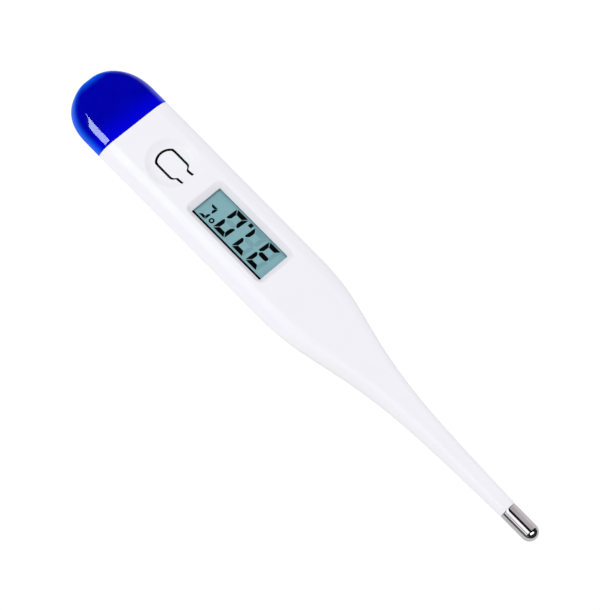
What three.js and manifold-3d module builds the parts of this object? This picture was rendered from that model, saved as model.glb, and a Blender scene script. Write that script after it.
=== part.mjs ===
// Digital stick thermometer, millimetres. +X points to the probe, +Z out of the display face,
// and the back rests on z = 0. Lengths are drawn from a datum near the middle, and at the end every
// piece is moved so that the origin is the middle of the bounding box's underside.
import * as THREE from "three";
import { mergeVertices } from "three/addons/utils/BufferGeometryUtils.js";
import Module from "manifold-3d";

const wasm = await Module();
wasm.setup();

// ---- driving dimensions -------------------------------------------------------------------

const TIP_END_X = 63.2;
const CAP_END_X = -61.6;
const MIDDLE_X = (TIP_END_X + CAP_END_X) / 2;
const THICK = 9.5; // back to display face
const SEAM_X = -48; // where the cap meets the housing
const SEAM_GAP = 0.05;
const SEAM_BOW = { perSquare: 0.0045, reach: 4 }; // the seam's line curves back towards both sides

const BODY = { wide: 8.95, waist: 8.7, waistX: -3, widestZ: 6.95, faceHalf: 5.75 };
const SHAFT = { startX: 38, endX: 55.7, startR: 2.42, endR: 1.82, axisZ: 6.2 };
const TAPER_PULL = { bodyX: 13, bodyW: 0.15, shaftX: 25.4, shaftW: 1.05 };
const FACE_FADE = { from: 12, ratioBody: 0.66, ratioShaft: 0.31, ratioFrom: 8, ratioTo: 32, crown: 0.975 };
const BACK_RISE_X = -2; // where the flat back starts to climb towards the shaft

// The side of a cross-section: a flat bevel, a knee, a curved shoulder and a lower side.
const BEVEL = { share: 0.49, shaftShare: 0.08, slope: 0.364 };
const SHOULDER = { slope: 0.625, weight: 0.78 };
const LOWER = { tuck: 0.27, flat: 0.57, weight: 0.9 };
const ROUND_WEIGHT = 0.7071; // a conic of this weight is a quarter of a circle

const WALL = 1.2;
const CAVITY = { half: 7.6, topHalf: 5.9, ceiling: 8.2, floor: 1.1, widestZ: 6.9 };
const CAVITY_FACE = 0.72; // flat share of the cavity's ceiling
const WIRE_BORE = { r: 0.9, startX: 36, endX: 54 };
const TRAY_RAIL = { startX: -44, y: 3.4, half: 0.4, baseZ: 0.6 };
const TRAY_STOP = { gap: 0.2, thick: 0.8, half: 3.8, topZ: 3.4 };

const WINDOW = { x: -17.95, length: 19.15, width: 7.5, corner: 0.2 };
const WINDOW_RIM = { length: 21.65, width: 9.7, corner: 1.5 };
const LENS = { length: 21, width: 9.6, thick: 0.43, gap: 0.02 };

const DISH = { x: -37.3, r: 5.1, flatR: 3.3, depth: 0.8 };
const TONGUE = { farX: -40.4, shoulderX: -34.9, neckX: -34.3, hingeX: -32.7, half: 2.24, neckHalf: 1.36,
  endR: 3, corner: 0.45, slot: 0.5, underZ: 8.2 };
const HINGE_GROOVE = { r: 0.45, back: 0.8, length: 8, gap: 0.06 };

const CAP = { nose: 2.3, straight: 0.3, crown: 4.5, belly: 5, midZ: 7.8, wall: 1.2,
  skirtEndX: -44.4, skirtGap: 0.15, skirtWall: 0.8 };
const CAP_RINGS = 12;
const CAP_TRIM = 0.9995; // the last ring stops just short of the point where the end closes
const CAP_NOTCH = { half: 3.2, below: 1.6 }; // clears the press tongue's end and the tray's lip

const TRAY = { startX: -49.6, wideX: -40, endX: -5.4, half: 4.5, floorHalf: 4.15, mouthHalf: 3.9,
  endCorner: 2.4, floorZ: 2.3, thick: 0.5, railX: -38.5, railZ: 2.6, railTopZ: 4.98, railWall: 0.6,
  lip: 0.9, lipThick: 0.5 };
const CELL = { x: -44.3, r: 3.95, height: 3.6, baseZ: 2.95, pocketR: 4.1, pocketWall: 0.5 };
const LEAF_END_X = -38.7; // positive contact's end towards the display
const STRIP_END_X = -38; // negative contact's end towards the display
const BOARD = { startX: -40.2, endX: -4.8, half: 5.6, bottomZ: 5, thick: 0.7 };
const BOARD_TOP = BOARD.bottomZ + BOARD.thick;
const PINS = { xs: [-33.2, -5.9], y: 4.2, r: 0.4, topZ: 5.95, play: 0.1 };

const GLASS = { startX: -28, endX: -8, minusY: -4.95, plusY: 5.1, ledgeY: 3.75 };
const STACK = { polariser: [7.5, 7.65], front: [6.95, 7.48], rear: [6.4, 6.93], reflector: [6.23, 6.38] };
const FILM_TRIM = 0.25;
const HOLDER = { startX: -29, endX: -7, half: 5.9, wall: 0.8, baseZ: 5.72, topZ: 7.65 };

const KEY = { x: -37.6, stemR: 1.3, flangeR: 1.8, baseZ: 6.2, flangeZ: 6.6, topZ: 8.05 };
const GUIDE = { r: 2.5, boreR: 1.42, chamberR: 2.1, chamberTopZ: 6.9, topZ: 7.4 };
const DOME = { r: 2, rise: 0.4, sheet: 0.1 };

const CHIP = { long: 1.6, wide: 0.8, y: 2.3, capacitorX: -35.2, resistorX: -10.5 };
const GLOB = { x: -29, r: 2.8, depth: 1 };
const LEAD_PAD = { y: 1.8, back: 0.9, r: 0.75 };

const BUZZER = { x: -17, discR: 3.7, discZ: [2.82, 3], ceramicR: 2.7, ceramicZ: [3.02, 3.15] };
const SPRING = { coilR: 0.4, wireR: 0.09, turns: 5 };

const TIP = { r: 1.8, neckR: 1.3, neckInnerR: 1.1, innerR: 1.52, neckX: 52.7 };
const NECK_BORE = { play: 0.07, before: 0.3, endX: 57 };
const WIRE = { r: 0.2, spread: 0.42 };
const BEAD = { x: 61.4, r: 0.55 };

const CONIC_STEPS = 8; // facets along the lower quarter of a cross-section
const SHOULDER_STEPS = 7; // facets from the bevel's knee to the widest line
const ROUND = 32; // facets round a turned piece

// ---- solids -------------------------------------------------------------------------------

// A closed three.js geometry as a manifold-3d solid.
function solid(geometry) {
  const bare = geometry.clone();
  bare.deleteAttribute("normal");
  bare.deleteAttribute("uv");
  const merged = mergeVertices(bare, 1e-4);
  const vertProperties = new Float32Array(merged.attributes.position.array);
  const triVerts = new Uint32Array(merged.index.array);
  const made = new wasm.Manifold(new wasm.Mesh({ numProp: 3, vertProperties, triVerts }));
  if (made.volume() < 0) throw new Error("a profile runs the wrong way round");
  return made;
}

// A solid as a three.js geometry, flat shaded.
function geometryOf(made) {
  const mesh = made.getMesh();
  const geometry = new THREE.BufferGeometry();
  const place = new Float32Array(mesh.numVert * 3);
  for (let i = 0; i < mesh.numVert; i++) {
    for (let k = 0; k < 3; k++) place[i * 3 + k] = mesh.vertProperties[i * mesh.numProp + k];
  }
  geometry.setAttribute("position", new THREE.BufferAttribute(place, 3));
  geometry.setIndex(new THREE.BufferAttribute(new Uint32Array(mesh.triVerts), 1));
  const flat = geometry.toNonIndexed();
  flat.computeVertexNormals();
  return flat;
}

function box([x0, x1], [y0, y1], [z0, z1]) {
  const geometry = new THREE.BoxGeometry(x1 - x0, y1 - y0, z1 - z0);
  geometry.translate((x0 + x1) / 2, (y0 + y1) / 2, (z0 + z1) / 2);
  return solid(geometry);
}

// A turned solid. The profile lists [radius, height] from the bottom of the axis round to its top.
function turned(profile, { x = 0, y = 0, alongX = false, z = 0, facets = ROUND } = {}) {
  const geometry = new THREE.LatheGeometry(profile.map(([r, h]) => new THREE.Vector2(r, h)), facets);
  geometry.rotateX(Math.PI / 2);
  if (alongX) geometry.rotateY(Math.PI / 2);
  geometry.translate(x, y, z);
  return solid(geometry);
}

function disc(r, [z0, z1], x, y = 0, facets = ROUND) {
  return turned([[0, z0], [r, z0], [r, z1], [0, z1]], { x, y, facets });
}

function ring(outer, inner, [z0, z1], x) {
  return turned([[inner, z0], [outer, z0], [outer, z1], [inner, z1], [inner, z0]], { x });
}

// A flat outline pushed straight up between two heights.
function prism(shape, [z0, z1]) {
  const options = { depth: z1 - z0, bevelEnabled: false, curveSegments: 6 };
  const geometry = new THREE.ExtrudeGeometry(shape, options);
  geometry.translate(0, 0, z0);
  return solid(geometry);
}

function middle(points) {
  return points.reduce((sum, p) => sum.add(p), new THREE.Vector3()).divideScalar(points.length);
}

// A skin over a row of rings with equal point counts, closed by a fan at each end.
function loft(rings) {
  const count = rings[0].length;
  const points = [...rings.flat(), middle(rings[0]), middle(rings.at(-1))];
  const first = points.length - 2;
  const last = points.length - 1;
  const index = [];
  for (let i = 0; i < count; i++) {
    const j = (i + 1) % count;
    for (let k = 0; k + 1 < rings.length; k++) {
      const a = k * count;
      const b = a + count;
      index.push(a + i, b + j, b + i, a + i, a + j, b + j);
    }
    const end = (rings.length - 1) * count;
    index.push(first, j, i, last, end + i, end + j);
  }
  const geometry = new THREE.BufferGeometry().setFromPoints(points);
  geometry.setIndex(index);
  return solid(geometry);
}

function tube(points, radius, { sides = 4, steps = 32 } = {}) {
  const path = new THREE.CatmullRomCurve3(points.map((p) => new THREE.Vector3(...p)));
  const shape = new THREE.Shape();
  shape.absarc(0, 0, radius, 0, Math.PI * 2);
  const options = { steps, curveSegments: sides, bevelEnabled: false, extrudePath: path };
  return solid(new THREE.ExtrudeGeometry(shape, options));
}

// ---- cross-sections -----------------------------------------------------------------------

const mix = (a, b, t) => a + (b - a) * t;

function smooth(x, from, to) {
  const t = THREE.MathUtils.clamp((x - from) / (to - from), 0, 1);
  return t * t * (3 - 2 * t);
}

// A rational quadratic arc from a to b that leans towards its corner c.
function conic(a, c, b, weight, steps) {
  const points = [];
  for (let i = 0; i <= steps; i++) {
    const t = i / steps;
    const wa = (1 - t) ** 2;
    const wc = 2 * weight * t * (1 - t);
    const wb = t * t;
    points.push([0, 1].map((k) => (wa * a[k] + wc * c[k] + wb * b[k]) / (wa + wc + wb)));
  }
  return points;
}

// One closed cross-section: a flat face, a flat bevel down to its knee, a curved shoulder, the
// widest line and the lower side. Blend goes from 0 on the round shaft to 1 on the flat body.
function section(x, { w, widestZ, topZ, topHalf, bottomZ, blend }) {
  const kneeY = topHalf + mix(BEVEL.shaftShare, BEVEL.share, blend) * (w - topHalf);
  const kneeZ = topZ - BEVEL.slope * blend * (kneeY - topHalf);
  const corner = [w, kneeZ - SHOULDER.slope * blend * (w - kneeY)];
  const shoulderWeight = mix(ROUND_WEIGHT, SHOULDER.weight, blend);
  const upper = conic([kneeY, kneeZ], corner, [w, widestZ], shoulderWeight, SHOULDER_STEPS);
  const foot = [LOWER.flat * w * blend + 0.02, bottomZ];
  const tuck = [w - LOWER.tuck * w * blend, bottomZ];
  const lower = conic([w, widestZ], tuck, foot, mix(ROUND_WEIGHT, LOWER.weight, blend), CONIC_STEPS);
  const left = [[topHalf, topZ], ...upper, ...lower.slice(1)].map(([y, z]) => [-y, z]);
  const right = left.map(([y, z]) => [-y, z]).reverse();
  return [...right, ...left].map(([y, z]) => new THREE.Vector3(x, y, z));
}

// A cross-section near the seam, with its sides drawn back along the seam's curved line.
function bowed(points, x) {
  const share = THREE.MathUtils.clamp(1 - Math.abs(x - SEAM_X) / SEAM_BOW.reach, 0, 1);
  return points.map((p) => new THREE.Vector3(p.x - SEAM_BOW.perSquare * share * p.y ** 2, p.y, p.z));
}

// Half-width stations from the seam to the probe: straight body, ogee taper, slim shaft.
function stations() {
  const list = [SEAM_X, SEAM_X + SEAM_BOW.reach, -30, -14, BODY.waistX].map((x) => {
    const t = (x - SEAM_X) / (BODY.waistX - SEAM_X);
    return { x, w: mix(BODY.wide, BODY.waist, t) };
  });
  const taper = new THREE.CubicBezierCurve(
    new THREE.Vector2(BODY.waistX, BODY.waist),
    new THREE.Vector2(BODY.waistX + TAPER_PULL.bodyX, BODY.waist - TAPER_PULL.bodyW),
    new THREE.Vector2(SHAFT.startX - TAPER_PULL.shaftX, SHAFT.startR + TAPER_PULL.shaftW),
    new THREE.Vector2(SHAFT.startX, SHAFT.startR),
  );
  for (const p of taper.getPoints(16).slice(1)) list.push({ x: p.x, w: p.y });
  for (const t of [0.35, 0.7, 1]) {
    list.push({ x: mix(SHAFT.startX, SHAFT.endX, t), w: mix(SHAFT.startR, SHAFT.endR, t ** 0.8) });
  }
  return list;
}

function outerForm({ x, w }) {
  const blend = THREE.MathUtils.clamp((w - SHAFT.startR) / (BODY.waist - SHAFT.startR), 0, 1);
  const onShaft = x > SHAFT.startX;
  const shaftW = onShaft ? w : SHAFT.startR;
  const towardsShaft = smooth(x, FACE_FADE.ratioFrom, FACE_FADE.ratioTo);
  const flat = mix(FACE_FADE.ratioBody, FACE_FADE.ratioShaft, towardsShaft);
  const shaftTop = SHAFT.axisZ + FACE_FADE.crown * shaftW;
  return {
    w,
    blend,
    widestZ: mix(SHAFT.axisZ, BODY.widestZ, blend),
    topZ: mix(THICK, shaftTop, smooth(x, FACE_FADE.from, SHAFT.startX)),
    topHalf: Math.min(BODY.faceHalf, w * flat),
    bottomZ: (SHAFT.axisZ - shaftW) * smooth(x, BACK_RISE_X, SHAFT.startX),
  };
}

function cavityForm(station) {
  const outer = outerForm(station);
  const w = Math.min(CAVITY.half, station.w - WALL);
  return {
    w,
    blend: outer.blend,
    widestZ: Math.min(CAVITY.widestZ, outer.widestZ),
    topZ: Math.min(CAVITY.ceiling, outer.topZ - WALL),
    topHalf: Math.min(CAVITY.topHalf, w * CAVITY_FACE),
    bottomZ: outer.bottomZ + CAVITY.floor,
  };
}

// The cavity's own section at the mouth, drawn in by a distance on every side.
function mouthForm(inset) {
  return {
    w: CAVITY.half - inset,
    blend: 1,
    widestZ: CAVITY.widestZ,
    topZ: CAVITY.ceiling - inset,
    topHalf: CAVITY.topHalf * 0.93 - inset * 0.6,
    bottomZ: CAVITY.floor + inset,
  };
}

function roundedRect(x, length, width, corner, z) {
  const points = [];
  const corners = [[1, 1], [-1, 1], [-1, -1], [1, -1]];
  corners.forEach(([sx, sy], quarter) => {
    for (let i = 0; i <= 4; i++) {
      const angle = ((quarter + i / 4) * Math.PI) / 2;
      const cx = x + sx * (length / 2 - corner);
      const cy = sy * (width / 2 - corner);
      points.push(new THREE.Vector3(cx + corner * Math.cos(angle), cy + corner * Math.sin(angle), z));
    }
  });
  return points;
}

// ---- housing and what is fixed in it ------------------------------------------------------

// The press tongue's outline, grown or shrunk by an offset from the middle of its slot.
function tongueOutline(offset, hingeEnd) {
  const half = TONGUE.half + offset;
  const neck = TONGUE.neckHalf + offset;
  const endR = TONGUE.endR + offset;
  const centreX = TONGUE.farX + TONGUE.endR;
  const cornerX = centreX - Math.sqrt(endR ** 2 - half ** 2);
  const spread = Math.asin(half / endR) - TONGUE.corner / endR;
  const arcX = centreX - endR * Math.cos(spread);
  const shape = new THREE.Shape();
  shape.moveTo(hingeEnd, -neck);
  shape.lineTo(hingeEnd, neck);
  shape.lineTo(TONGUE.neckX, neck);
  shape.lineTo(TONGUE.shoulderX, half);
  shape.lineTo(cornerX + TONGUE.corner, half);
  shape.quadraticCurveTo(cornerX, half, arcX, endR * Math.sin(spread));
  shape.absarc(centreX, 0, endR, Math.PI - spread, Math.PI + spread, false);
  shape.quadraticCurveTo(cornerX, -half, cornerX + TONGUE.corner, -half);
  shape.lineTo(TONGUE.shoulderX, -half);
  shape.lineTo(TONGUE.neckX, -neck);
  shape.closePath();
  return shape;
}

// The round finger dish as a cutter that flares softly out of the face.
function dishCutter() {
  const profile = [[0, THICK - DISH.depth]];
  for (let i = 0; i <= 6; i++) {
    const r = mix(DISH.flatR, DISH.r, i / 6);
    profile.push([r, THICK - DISH.depth + DISH.depth * smooth(r, DISH.flatR - 0.4, DISH.r + 0.4)]);
  }
  profile.push([DISH.r + 0.3, THICK + 1], [0, THICK + 1]);
  return turned(profile, { x: DISH.x, facets: 40 });
}

// The display recess: a sloping wall from the rim in the face down to the sill, open below.
function windowCutter() {
  const rise = THICK - CAVITY.ceiling;
  const over = 0.1;
  const grow = over / rise;
  const length = WINDOW_RIM.length + grow * (WINDOW_RIM.length - WINDOW.length);
  const width = WINDOW_RIM.width + grow * (WINDOW_RIM.width - WINDOW.width);
  return loft([
    roundedRect(WINDOW.x, WINDOW.length, WINDOW.width, WINDOW.corner, CAVITY.ceiling - over),
    roundedRect(WINDOW.x, WINDOW.length, WINDOW.width, WINDOW.corner, CAVITY.ceiling),
    roundedRect(WINDOW.x, length, width, WINDOW_RIM.corner, THICK + over),
  ]);
}

// A round bore along the shaft's axis.
function axisBore(r, startX, endX, facets) {
  return turned([[0, startX], [r, startX], [r, endX], [0, endX]], { alongX: true, z: SHAFT.axisZ, facets });
}

function makeHousing() {
  const list = stations();
  const shell = loft(list.map((s) => bowed(section(s.x, outerForm(s)), s.x)));
  const inside = list.filter((s) => s.x <= SHAFT.startX).map((s) => section(s.x, cavityForm(s)));
  const mouth = section(SEAM_X - 1, cavityForm(list[0]));
  const cuts = [
    loft([mouth, ...inside]),
    windowCutter(),
    dishCutter(),
    prism(tongueOutline(TONGUE.slot / 2, TONGUE.hingeX), [CAVITY.ceiling - 0.5, THICK + 1]),
    axisBore(WIRE_BORE.r, WIRE_BORE.startX, WIRE_BORE.endX, 16),
    axisBore(TIP.neckR + NECK_BORE.play, TIP.neckX - NECK_BORE.before, NECK_BORE.endX, ROUND),
  ];
  let housing = cuts.reduce((left, cut) => left.subtract(cut), shell);
  for (const side of [-1, 1]) {
    const y = [side * TRAY_RAIL.y - TRAY_RAIL.half, side * TRAY_RAIL.y + TRAY_RAIL.half];
    housing = housing.add(box([TRAY_RAIL.startX, TRAY.endX], y, [TRAY_RAIL.baseZ, TRAY.floorZ - 0.05]));
  }
  const stopX = [TRAY.endX + TRAY_STOP.gap, TRAY.endX + TRAY_STOP.gap + TRAY_STOP.thick];
  return housing.add(box(stopX, [-TRAY_STOP.half, TRAY_STOP.half], [TRAY_RAIL.baseZ, TRAY_STOP.topZ]));
}

function makeButton() {
  const outline = tongueOutline(-TONGUE.slot / 2, TONGUE.hingeX - HINGE_GROOVE.gap);
  const blank = prism(outline, [TONGUE.underZ, THICK]);
  const groove = new THREE.CylinderGeometry(HINGE_GROOVE.r, HINGE_GROOVE.r, HINGE_GROOVE.length, 16);
  groove.translate(TONGUE.hingeX - HINGE_GROOVE.back, 0, TONGUE.underZ);
  return blank.subtract(dishCutter()).subtract(solid(groove));
}

function makeLens() {
  const top = CAVITY.ceiling - LENS.gap;
  const half = [LENS.length / 2, LENS.width / 2];
  return box([WINDOW.x - half[0], WINDOW.x + half[0]], [-half[1], half[1]], [top - LENS.thick, top]);
}

function makeProbeTip() {
  const centre = TIP_END_X - TIP.r;
  const profile = [[TIP.neckInnerR, TIP.neckX], [TIP.neckR, TIP.neckX], [TIP.neckR, SHAFT.endX + 0.05]];
  profile.push([TIP.r, SHAFT.endX + 0.05]);
  for (let i = 0; i <= 8; i++) {
    const angle = ((i / 8) * Math.PI) / 2;
    profile.push([TIP.r * Math.cos(angle) * (i < 8), centre + TIP.r * Math.sin(angle)]);
  }
  for (let i = 8; i >= 0; i--) {
    const angle = ((i / 8) * Math.PI) / 2;
    profile.push([TIP.innerR * Math.cos(angle) * (i < 8), centre + TIP.innerR * Math.sin(angle)]);
  }
  const tubeEnd = SHAFT.endX + 0.3;
  profile.push([TIP.innerR, tubeEnd], [TIP.neckInnerR, tubeEnd], [TIP.neckInnerR, TIP.neckX]);
  return turned(profile, { alongX: true, z: SHAFT.axisZ });
}

function makePotting() {
  const [r1, r2] = [TIP.neckInnerR - 0.05, TIP.innerR - 0.05];
  const [x1, x2, x3] = [TIP.neckX + 0.3, SHAFT.endX + 0.35, BEAD.x - 0.75];
  const fill = [[0, x1], [r1, x1], [r1, x2], [r2, x2], [r2, x3], [0, x3]];
  const plug = turned(fill, { alongX: true, z: SHAFT.axisZ, facets: 24 });
  return [-1, 1].reduce((left, side) => {
    const bore = [[0, 50], [WIRE.r + 0.06, 50], [WIRE.r + 0.06, 62], [0, 62]];
    return left.subtract(turned(bore, { alongX: true, y: side * WIRE.spread, z: SHAFT.axisZ, facets: 12 }));
  }, plug);
}

// One insulated lead from the bead, down the shaft, to its pad at the end of the board.
function makeLeadWire(side) {
  const z = SHAFT.axisZ;
  return tube(
    [
      [BEAD.x - 0.65, side * WIRE.spread, z],
      [50, side * WIRE.spread, z],
      [SHAFT.startX, side * WIRE.spread, z],
      [24, side * 0.9, z - 0.2],
      [8, side * 1.6, z - 0.1],
      [-2, side * LEAD_PAD.y, BOARD_TOP + 0.3],
      [BOARD.endX + 0.15, side * LEAD_PAD.y, BOARD_TOP + 0.27],
    ],
    WIRE.r,
  );
}

function makeBead() {
  const geometry = new THREE.SphereGeometry(BEAD.r, 16, 10);
  geometry.translate(BEAD.x, 0, SHAFT.axisZ);
  return solid(geometry);
}

// ---- battery cap --------------------------------------------------------------------------

// How far along the rounded nose a place is, past the cap's straight part.
function noseShare(s) {
  return THREE.MathUtils.clamp((s - CAP.straight) / (1 - CAP.straight), 0, 1);
}

// The rounded end: half-width, top and underside close in along three superellipses.
function capForm(x, inset) {
  const reach = SEAM_X - CAP_END_X - inset;
  const s = THREE.MathUtils.clamp((SEAM_X - x) / reach, 0, 1);
  const plan = (1 - noseShare(s) ** CAP.nose) ** (1 / CAP.nose);
  const rise = (1 - s ** CAP.crown) ** (1 / CAP.crown);
  const drop = (1 - s ** CAP.belly) ** (1 / CAP.belly);
  return {
    w: (BODY.wide - inset) * plan,
    blend: 1,
    widestZ: mix(CAP.midZ, BODY.widestZ, rise),
    topZ: CAP.midZ + (THICK - inset - CAP.midZ) * rise,
    topHalf: (BODY.faceHalf - inset * 0.4) * plan,
    bottomZ: CAP.midZ - (CAP.midZ - inset) * drop,
  };
}

function capRings(inset, fromX) {
  const reach = SEAM_X - CAP_END_X - inset;
  const rings = [];
  for (let i = 1; i <= CAP_RINGS; i++) {
    const x = SEAM_X - reach * Math.sin(((i / CAP_RINGS) * Math.PI) / 2) * CAP_TRIM;
    if (x < fromX) rings.unshift(bowed(section(x, capForm(x, inset)), x));
  }
  return rings;
}

function makeCap() {
  const edge = SEAM_X - SEAM_GAP;
  const seam = bowed(section(edge, capForm(SEAM_X, 0)), SEAM_X);
  const dome = loft([...capRings(0, edge), seam]);
  const skirtOut = mouthForm(CAP.skirtGap);
  const skirtIn = mouthForm(CAP.skirtGap + CAP.skirtWall);
  const plug = loft([section(SEAM_X - 1, skirtOut), section(CAP.skirtEndX, skirtOut)]);
  const hollow = loft([
    ...capRings(CAP.wall, SEAM_X - 2.2),
    section(SEAM_X - 1.6, capForm(SEAM_X - 1.6, CAP.wall)),
    section(SEAM_X - 0.8, skirtIn),
    section(CAP.skirtEndX + 1, skirtIn),
  ]);
  const notchY = [-CAP_NOTCH.half, CAP_NOTCH.half];
  const low = CAVITY.widestZ - CAP_NOTCH.below;
  const notch = box([SEAM_X + 0.2, CAP.skirtEndX + 1], notchY, [low, CAVITY.ceiling + 1]);
  const crown = box([SEAM_X - 1.3, SEAM_X + 0.3], notchY, [low, CAVITY.ceiling]);
  return dome.add(plug).subtract(hollow).subtract(notch).subtract(crown);
}

// ---- battery carrier and circuit board ----------------------------------------------------

function makeCarrier() {
  const { startX, wideX, endX, half, floorHalf, mouthHalf, endCorner, floorZ, thick } = TRAY;
  const floor = floorZ + thick;
  const pocketTop = BOARD.bottomZ - 0.1;
  let tray = box([wideX, endX], [-floorHalf, floorHalf], [floorZ, floor]);
  const mouth = new THREE.Shape();
  mouth.moveTo(wideX + 1, -mouthHalf);
  mouth.lineTo(wideX + 1, mouthHalf);
  mouth.lineTo(startX + endCorner, mouthHalf);
  mouth.absarc(startX + endCorner, mouthHalf - endCorner, endCorner, Math.PI / 2, Math.PI, false);
  mouth.lineTo(startX, endCorner - mouthHalf);
  mouth.absarc(startX + endCorner, endCorner - mouthHalf, endCorner, Math.PI, Math.PI * 1.5, false);
  mouth.closePath();
  tray = tray.add(prism(mouth, [floorZ, floor]));
  const lipHalf = mouthHalf - endCorner;
  const lipX = [startX, startX + TRAY.lipThick];
  tray = tray.add(box(lipX, [-lipHalf, lipHalf], [floorZ, floor + TRAY.lip]));
  for (const side of [-1, 1]) {
    const y = [side * (half - TRAY.railWall), side * half].sort((a, b) => a - b);
    tray = tray.add(box([TRAY.railX, endX], y, [TRAY.railZ, TRAY.railTopZ]));
    for (const x of PINS.xs) {
      tray = tray.add(disc(PINS.r, [TRAY.railTopZ - 0.5, PINS.topZ], x, side * PINS.y, 16));
    }
  }
  const pocket = ring(CELL.pocketR + CELL.pocketWall, CELL.pocketR, [floor - 0.1, pocketTop], CELL.x)
    .subtract(box([CELL.x - 3.3, CELL.x + 3.3], [2.9, 6], [floor - 0.3, 6]))
    .subtract(box([CELL.x + 3, CELL.x + 6], [-1.2, 1.2], [floor - 0.3, floor + 0.6]));
  return tray.add(pocket);
}

function makeCell() {
  const top = CELL.baseZ + CELL.height;
  const profile = [
    [0, CELL.baseZ], [3.1, CELL.baseZ], [3.2, CELL.baseZ + 0.35], [CELL.r, CELL.baseZ + 0.35],
    [CELL.r, top - 0.2], [CELL.r - 0.2, top], [0, top],
  ];
  return turned(profile, { x: CELL.x });
}

function makeNegativeContact() {
  const base = [TRAY.floorZ + TRAY.thick + 0.02, TRAY.floorZ + TRAY.thick + 0.12];
  const riser = [STRIP_END_X - 0.15, STRIP_END_X];
  const strip = box([CELL.x - 2.7, STRIP_END_X], [-0.9, 0.9], base);
  return strip.add(box(riser, [-0.9, 0.9], [base[0], BOARD.bottomZ - 0.02]));
}

function makePositiveContact() {
  const leaf = [CELL.r + 0.07, CELL.r + 0.22];
  const under = BOARD.bottomZ - 0.05;
  const upright = box([CELL.x - 2.7, LEAF_END_X], leaf, [3, under]);
  return upright.add(box([LEAF_END_X - 1.3, LEAF_END_X], [2.9, leaf[1]], [under - 0.15, under]));
}

function makeBoard() {
  let board = box([BOARD.startX, BOARD.endX], [-BOARD.half, BOARD.half], [BOARD.bottomZ, BOARD_TOP]);
  const through = [BOARD.bottomZ - 1, BOARD_TOP + 1];
  for (const x of PINS.xs) {
    for (const side of [-1, 1]) {
      board = board.subtract(disc(PINS.r + PINS.play, through, x, side * PINS.y, 16));
    }
  }
  return board;
}

// A chip part soldered under the board.
function makeChip(x, y, height) {
  const top = BOARD.bottomZ - 0.02;
  const half = [CHIP.long / 2, CHIP.wide / 2];
  return box([x - half[0], x + half[0]], [y - half[1], y + half[1]], [top - height, top]);
}

function makeGlobTop() {
  const profile = [[0, -GLOB.depth]];
  for (let i = 1; i <= 6; i++) {
    const angle = ((i / 6) * Math.PI) / 2;
    profile.push([GLOB.r * Math.sin(angle), -GLOB.depth * Math.cos(angle)]);
  }
  profile.push([0, 0]);
  return turned(profile, { x: GLOB.x, z: BOARD.bottomZ - 0.02, facets: 24 });
}

// A solder bead on the board that takes one lead.
function makeSolder(side) {
  const profile = [[0, 0], [LEAD_PAD.r, 0], [0.65, 0.3], [0.4, 0.55], [0, 0.65]];
  const place = { x: BOARD.endX - LEAD_PAD.back, y: side * LEAD_PAD.y, z: BOARD_TOP + 0.02 };
  return turned(profile, { ...place, facets: 16 });
}

// ---- switch -------------------------------------------------------------------------------

function makeDome() {
  const steps = 5;
  const profile = [];
  for (let i = 0; i <= steps; i++) profile.push([(DOME.r * i) / steps, DOME.rise * (1 - (i / steps) ** 2)]);
  const under = profile.map(([r, z]) => [r * 0.95, Math.max(z - DOME.sheet, 0)]).slice(0, steps);
  const loop = [...under, [DOME.r * 0.93, 0], [DOME.r, 0], ...profile.reverse()];
  return turned(loop, { x: KEY.x, z: BOARD_TOP + 0.02, facets: 24 });
}

function makePlunger() {
  const profile = [
    [0, KEY.baseZ], [KEY.flangeR, KEY.baseZ], [KEY.flangeR, KEY.flangeZ], [KEY.stemR, KEY.flangeZ],
    [KEY.stemR, KEY.topZ - 0.2], [KEY.stemR - 0.2, KEY.topZ], [0, KEY.topZ],
  ];
  return turned(profile, { x: KEY.x, facets: 24 });
}

// ---- display ------------------------------------------------------------------------------

function makeHolder() {
  const { startX, endX, half, wall, baseZ, topZ } = HOLDER;
  const inner = half - wall + 0.1;
  let holder = box([startX, endX], [-half, half], [baseZ, topZ]);
  holder = holder.subtract(box([startX + wall, endX - wall], [-inner, inner], [baseZ - 1, topZ + 1]));
  for (const side of [-1, 1]) {
    const y = [side * 1.5, side * 2.3].sort((a, b) => a - b);
    holder = holder.add(box([KEY.x + 1, startX + 0.1], y, [baseZ, GUIDE.chamberTopZ]));
  }
  holder = holder.add(disc(GUIDE.r, [baseZ, GUIDE.topZ], KEY.x));
  holder = holder.subtract(disc(GUIDE.boreR, [baseZ - 1, GUIDE.topZ + 1], KEY.x));
  return holder.subtract(disc(GUIDE.chamberR, [baseZ - 1, GUIDE.chamberTopZ], KEY.x));
}

function makeLayer(heights, plusY, trim = 0) {
  return box([GLASS.startX + trim, GLASS.endX - trim], [GLASS.minusY + trim, plusY - trim], heights);
}

function makeZebra() {
  const x = [GLASS.startX + 1.2, GLASS.endX - 1.2];
  const y = [GLASS.ledgeY + 0.15, GLASS.plusY - 0.1];
  return box(x, y, [BOARD_TOP + 0.02, STACK.front[0] - 0.02]);
}

// ---- buzzer -------------------------------------------------------------------------------

function makeSpring(x, baseZ) {
  const topZ = BOARD.bottomZ - SPRING.wireR - 0.02;
  const bottomZ = baseZ + SPRING.wireR + 0.02;
  const steps = SPRING.turns * 10;
  const points = [];
  for (let i = 0; i <= steps; i++) {
    const angle = (i / steps) * SPRING.turns * Math.PI * 2;
    points.push([
      x + SPRING.coilR * Math.cos(angle),
      SPRING.coilR * Math.sin(angle),
      mix(bottomZ + SPRING.wireR / 2, topZ - SPRING.wireR / 2, i / steps),
    ]);
  }
  return tube(points, SPRING.wireR, { sides: 3, steps: steps });
}

// ---- assembly -----------------------------------------------------------------------------

function plastic(color, roughness = 0.4) {
  return new THREE.MeshStandardMaterial({ color, roughness, metalness: 0 });
}

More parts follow.
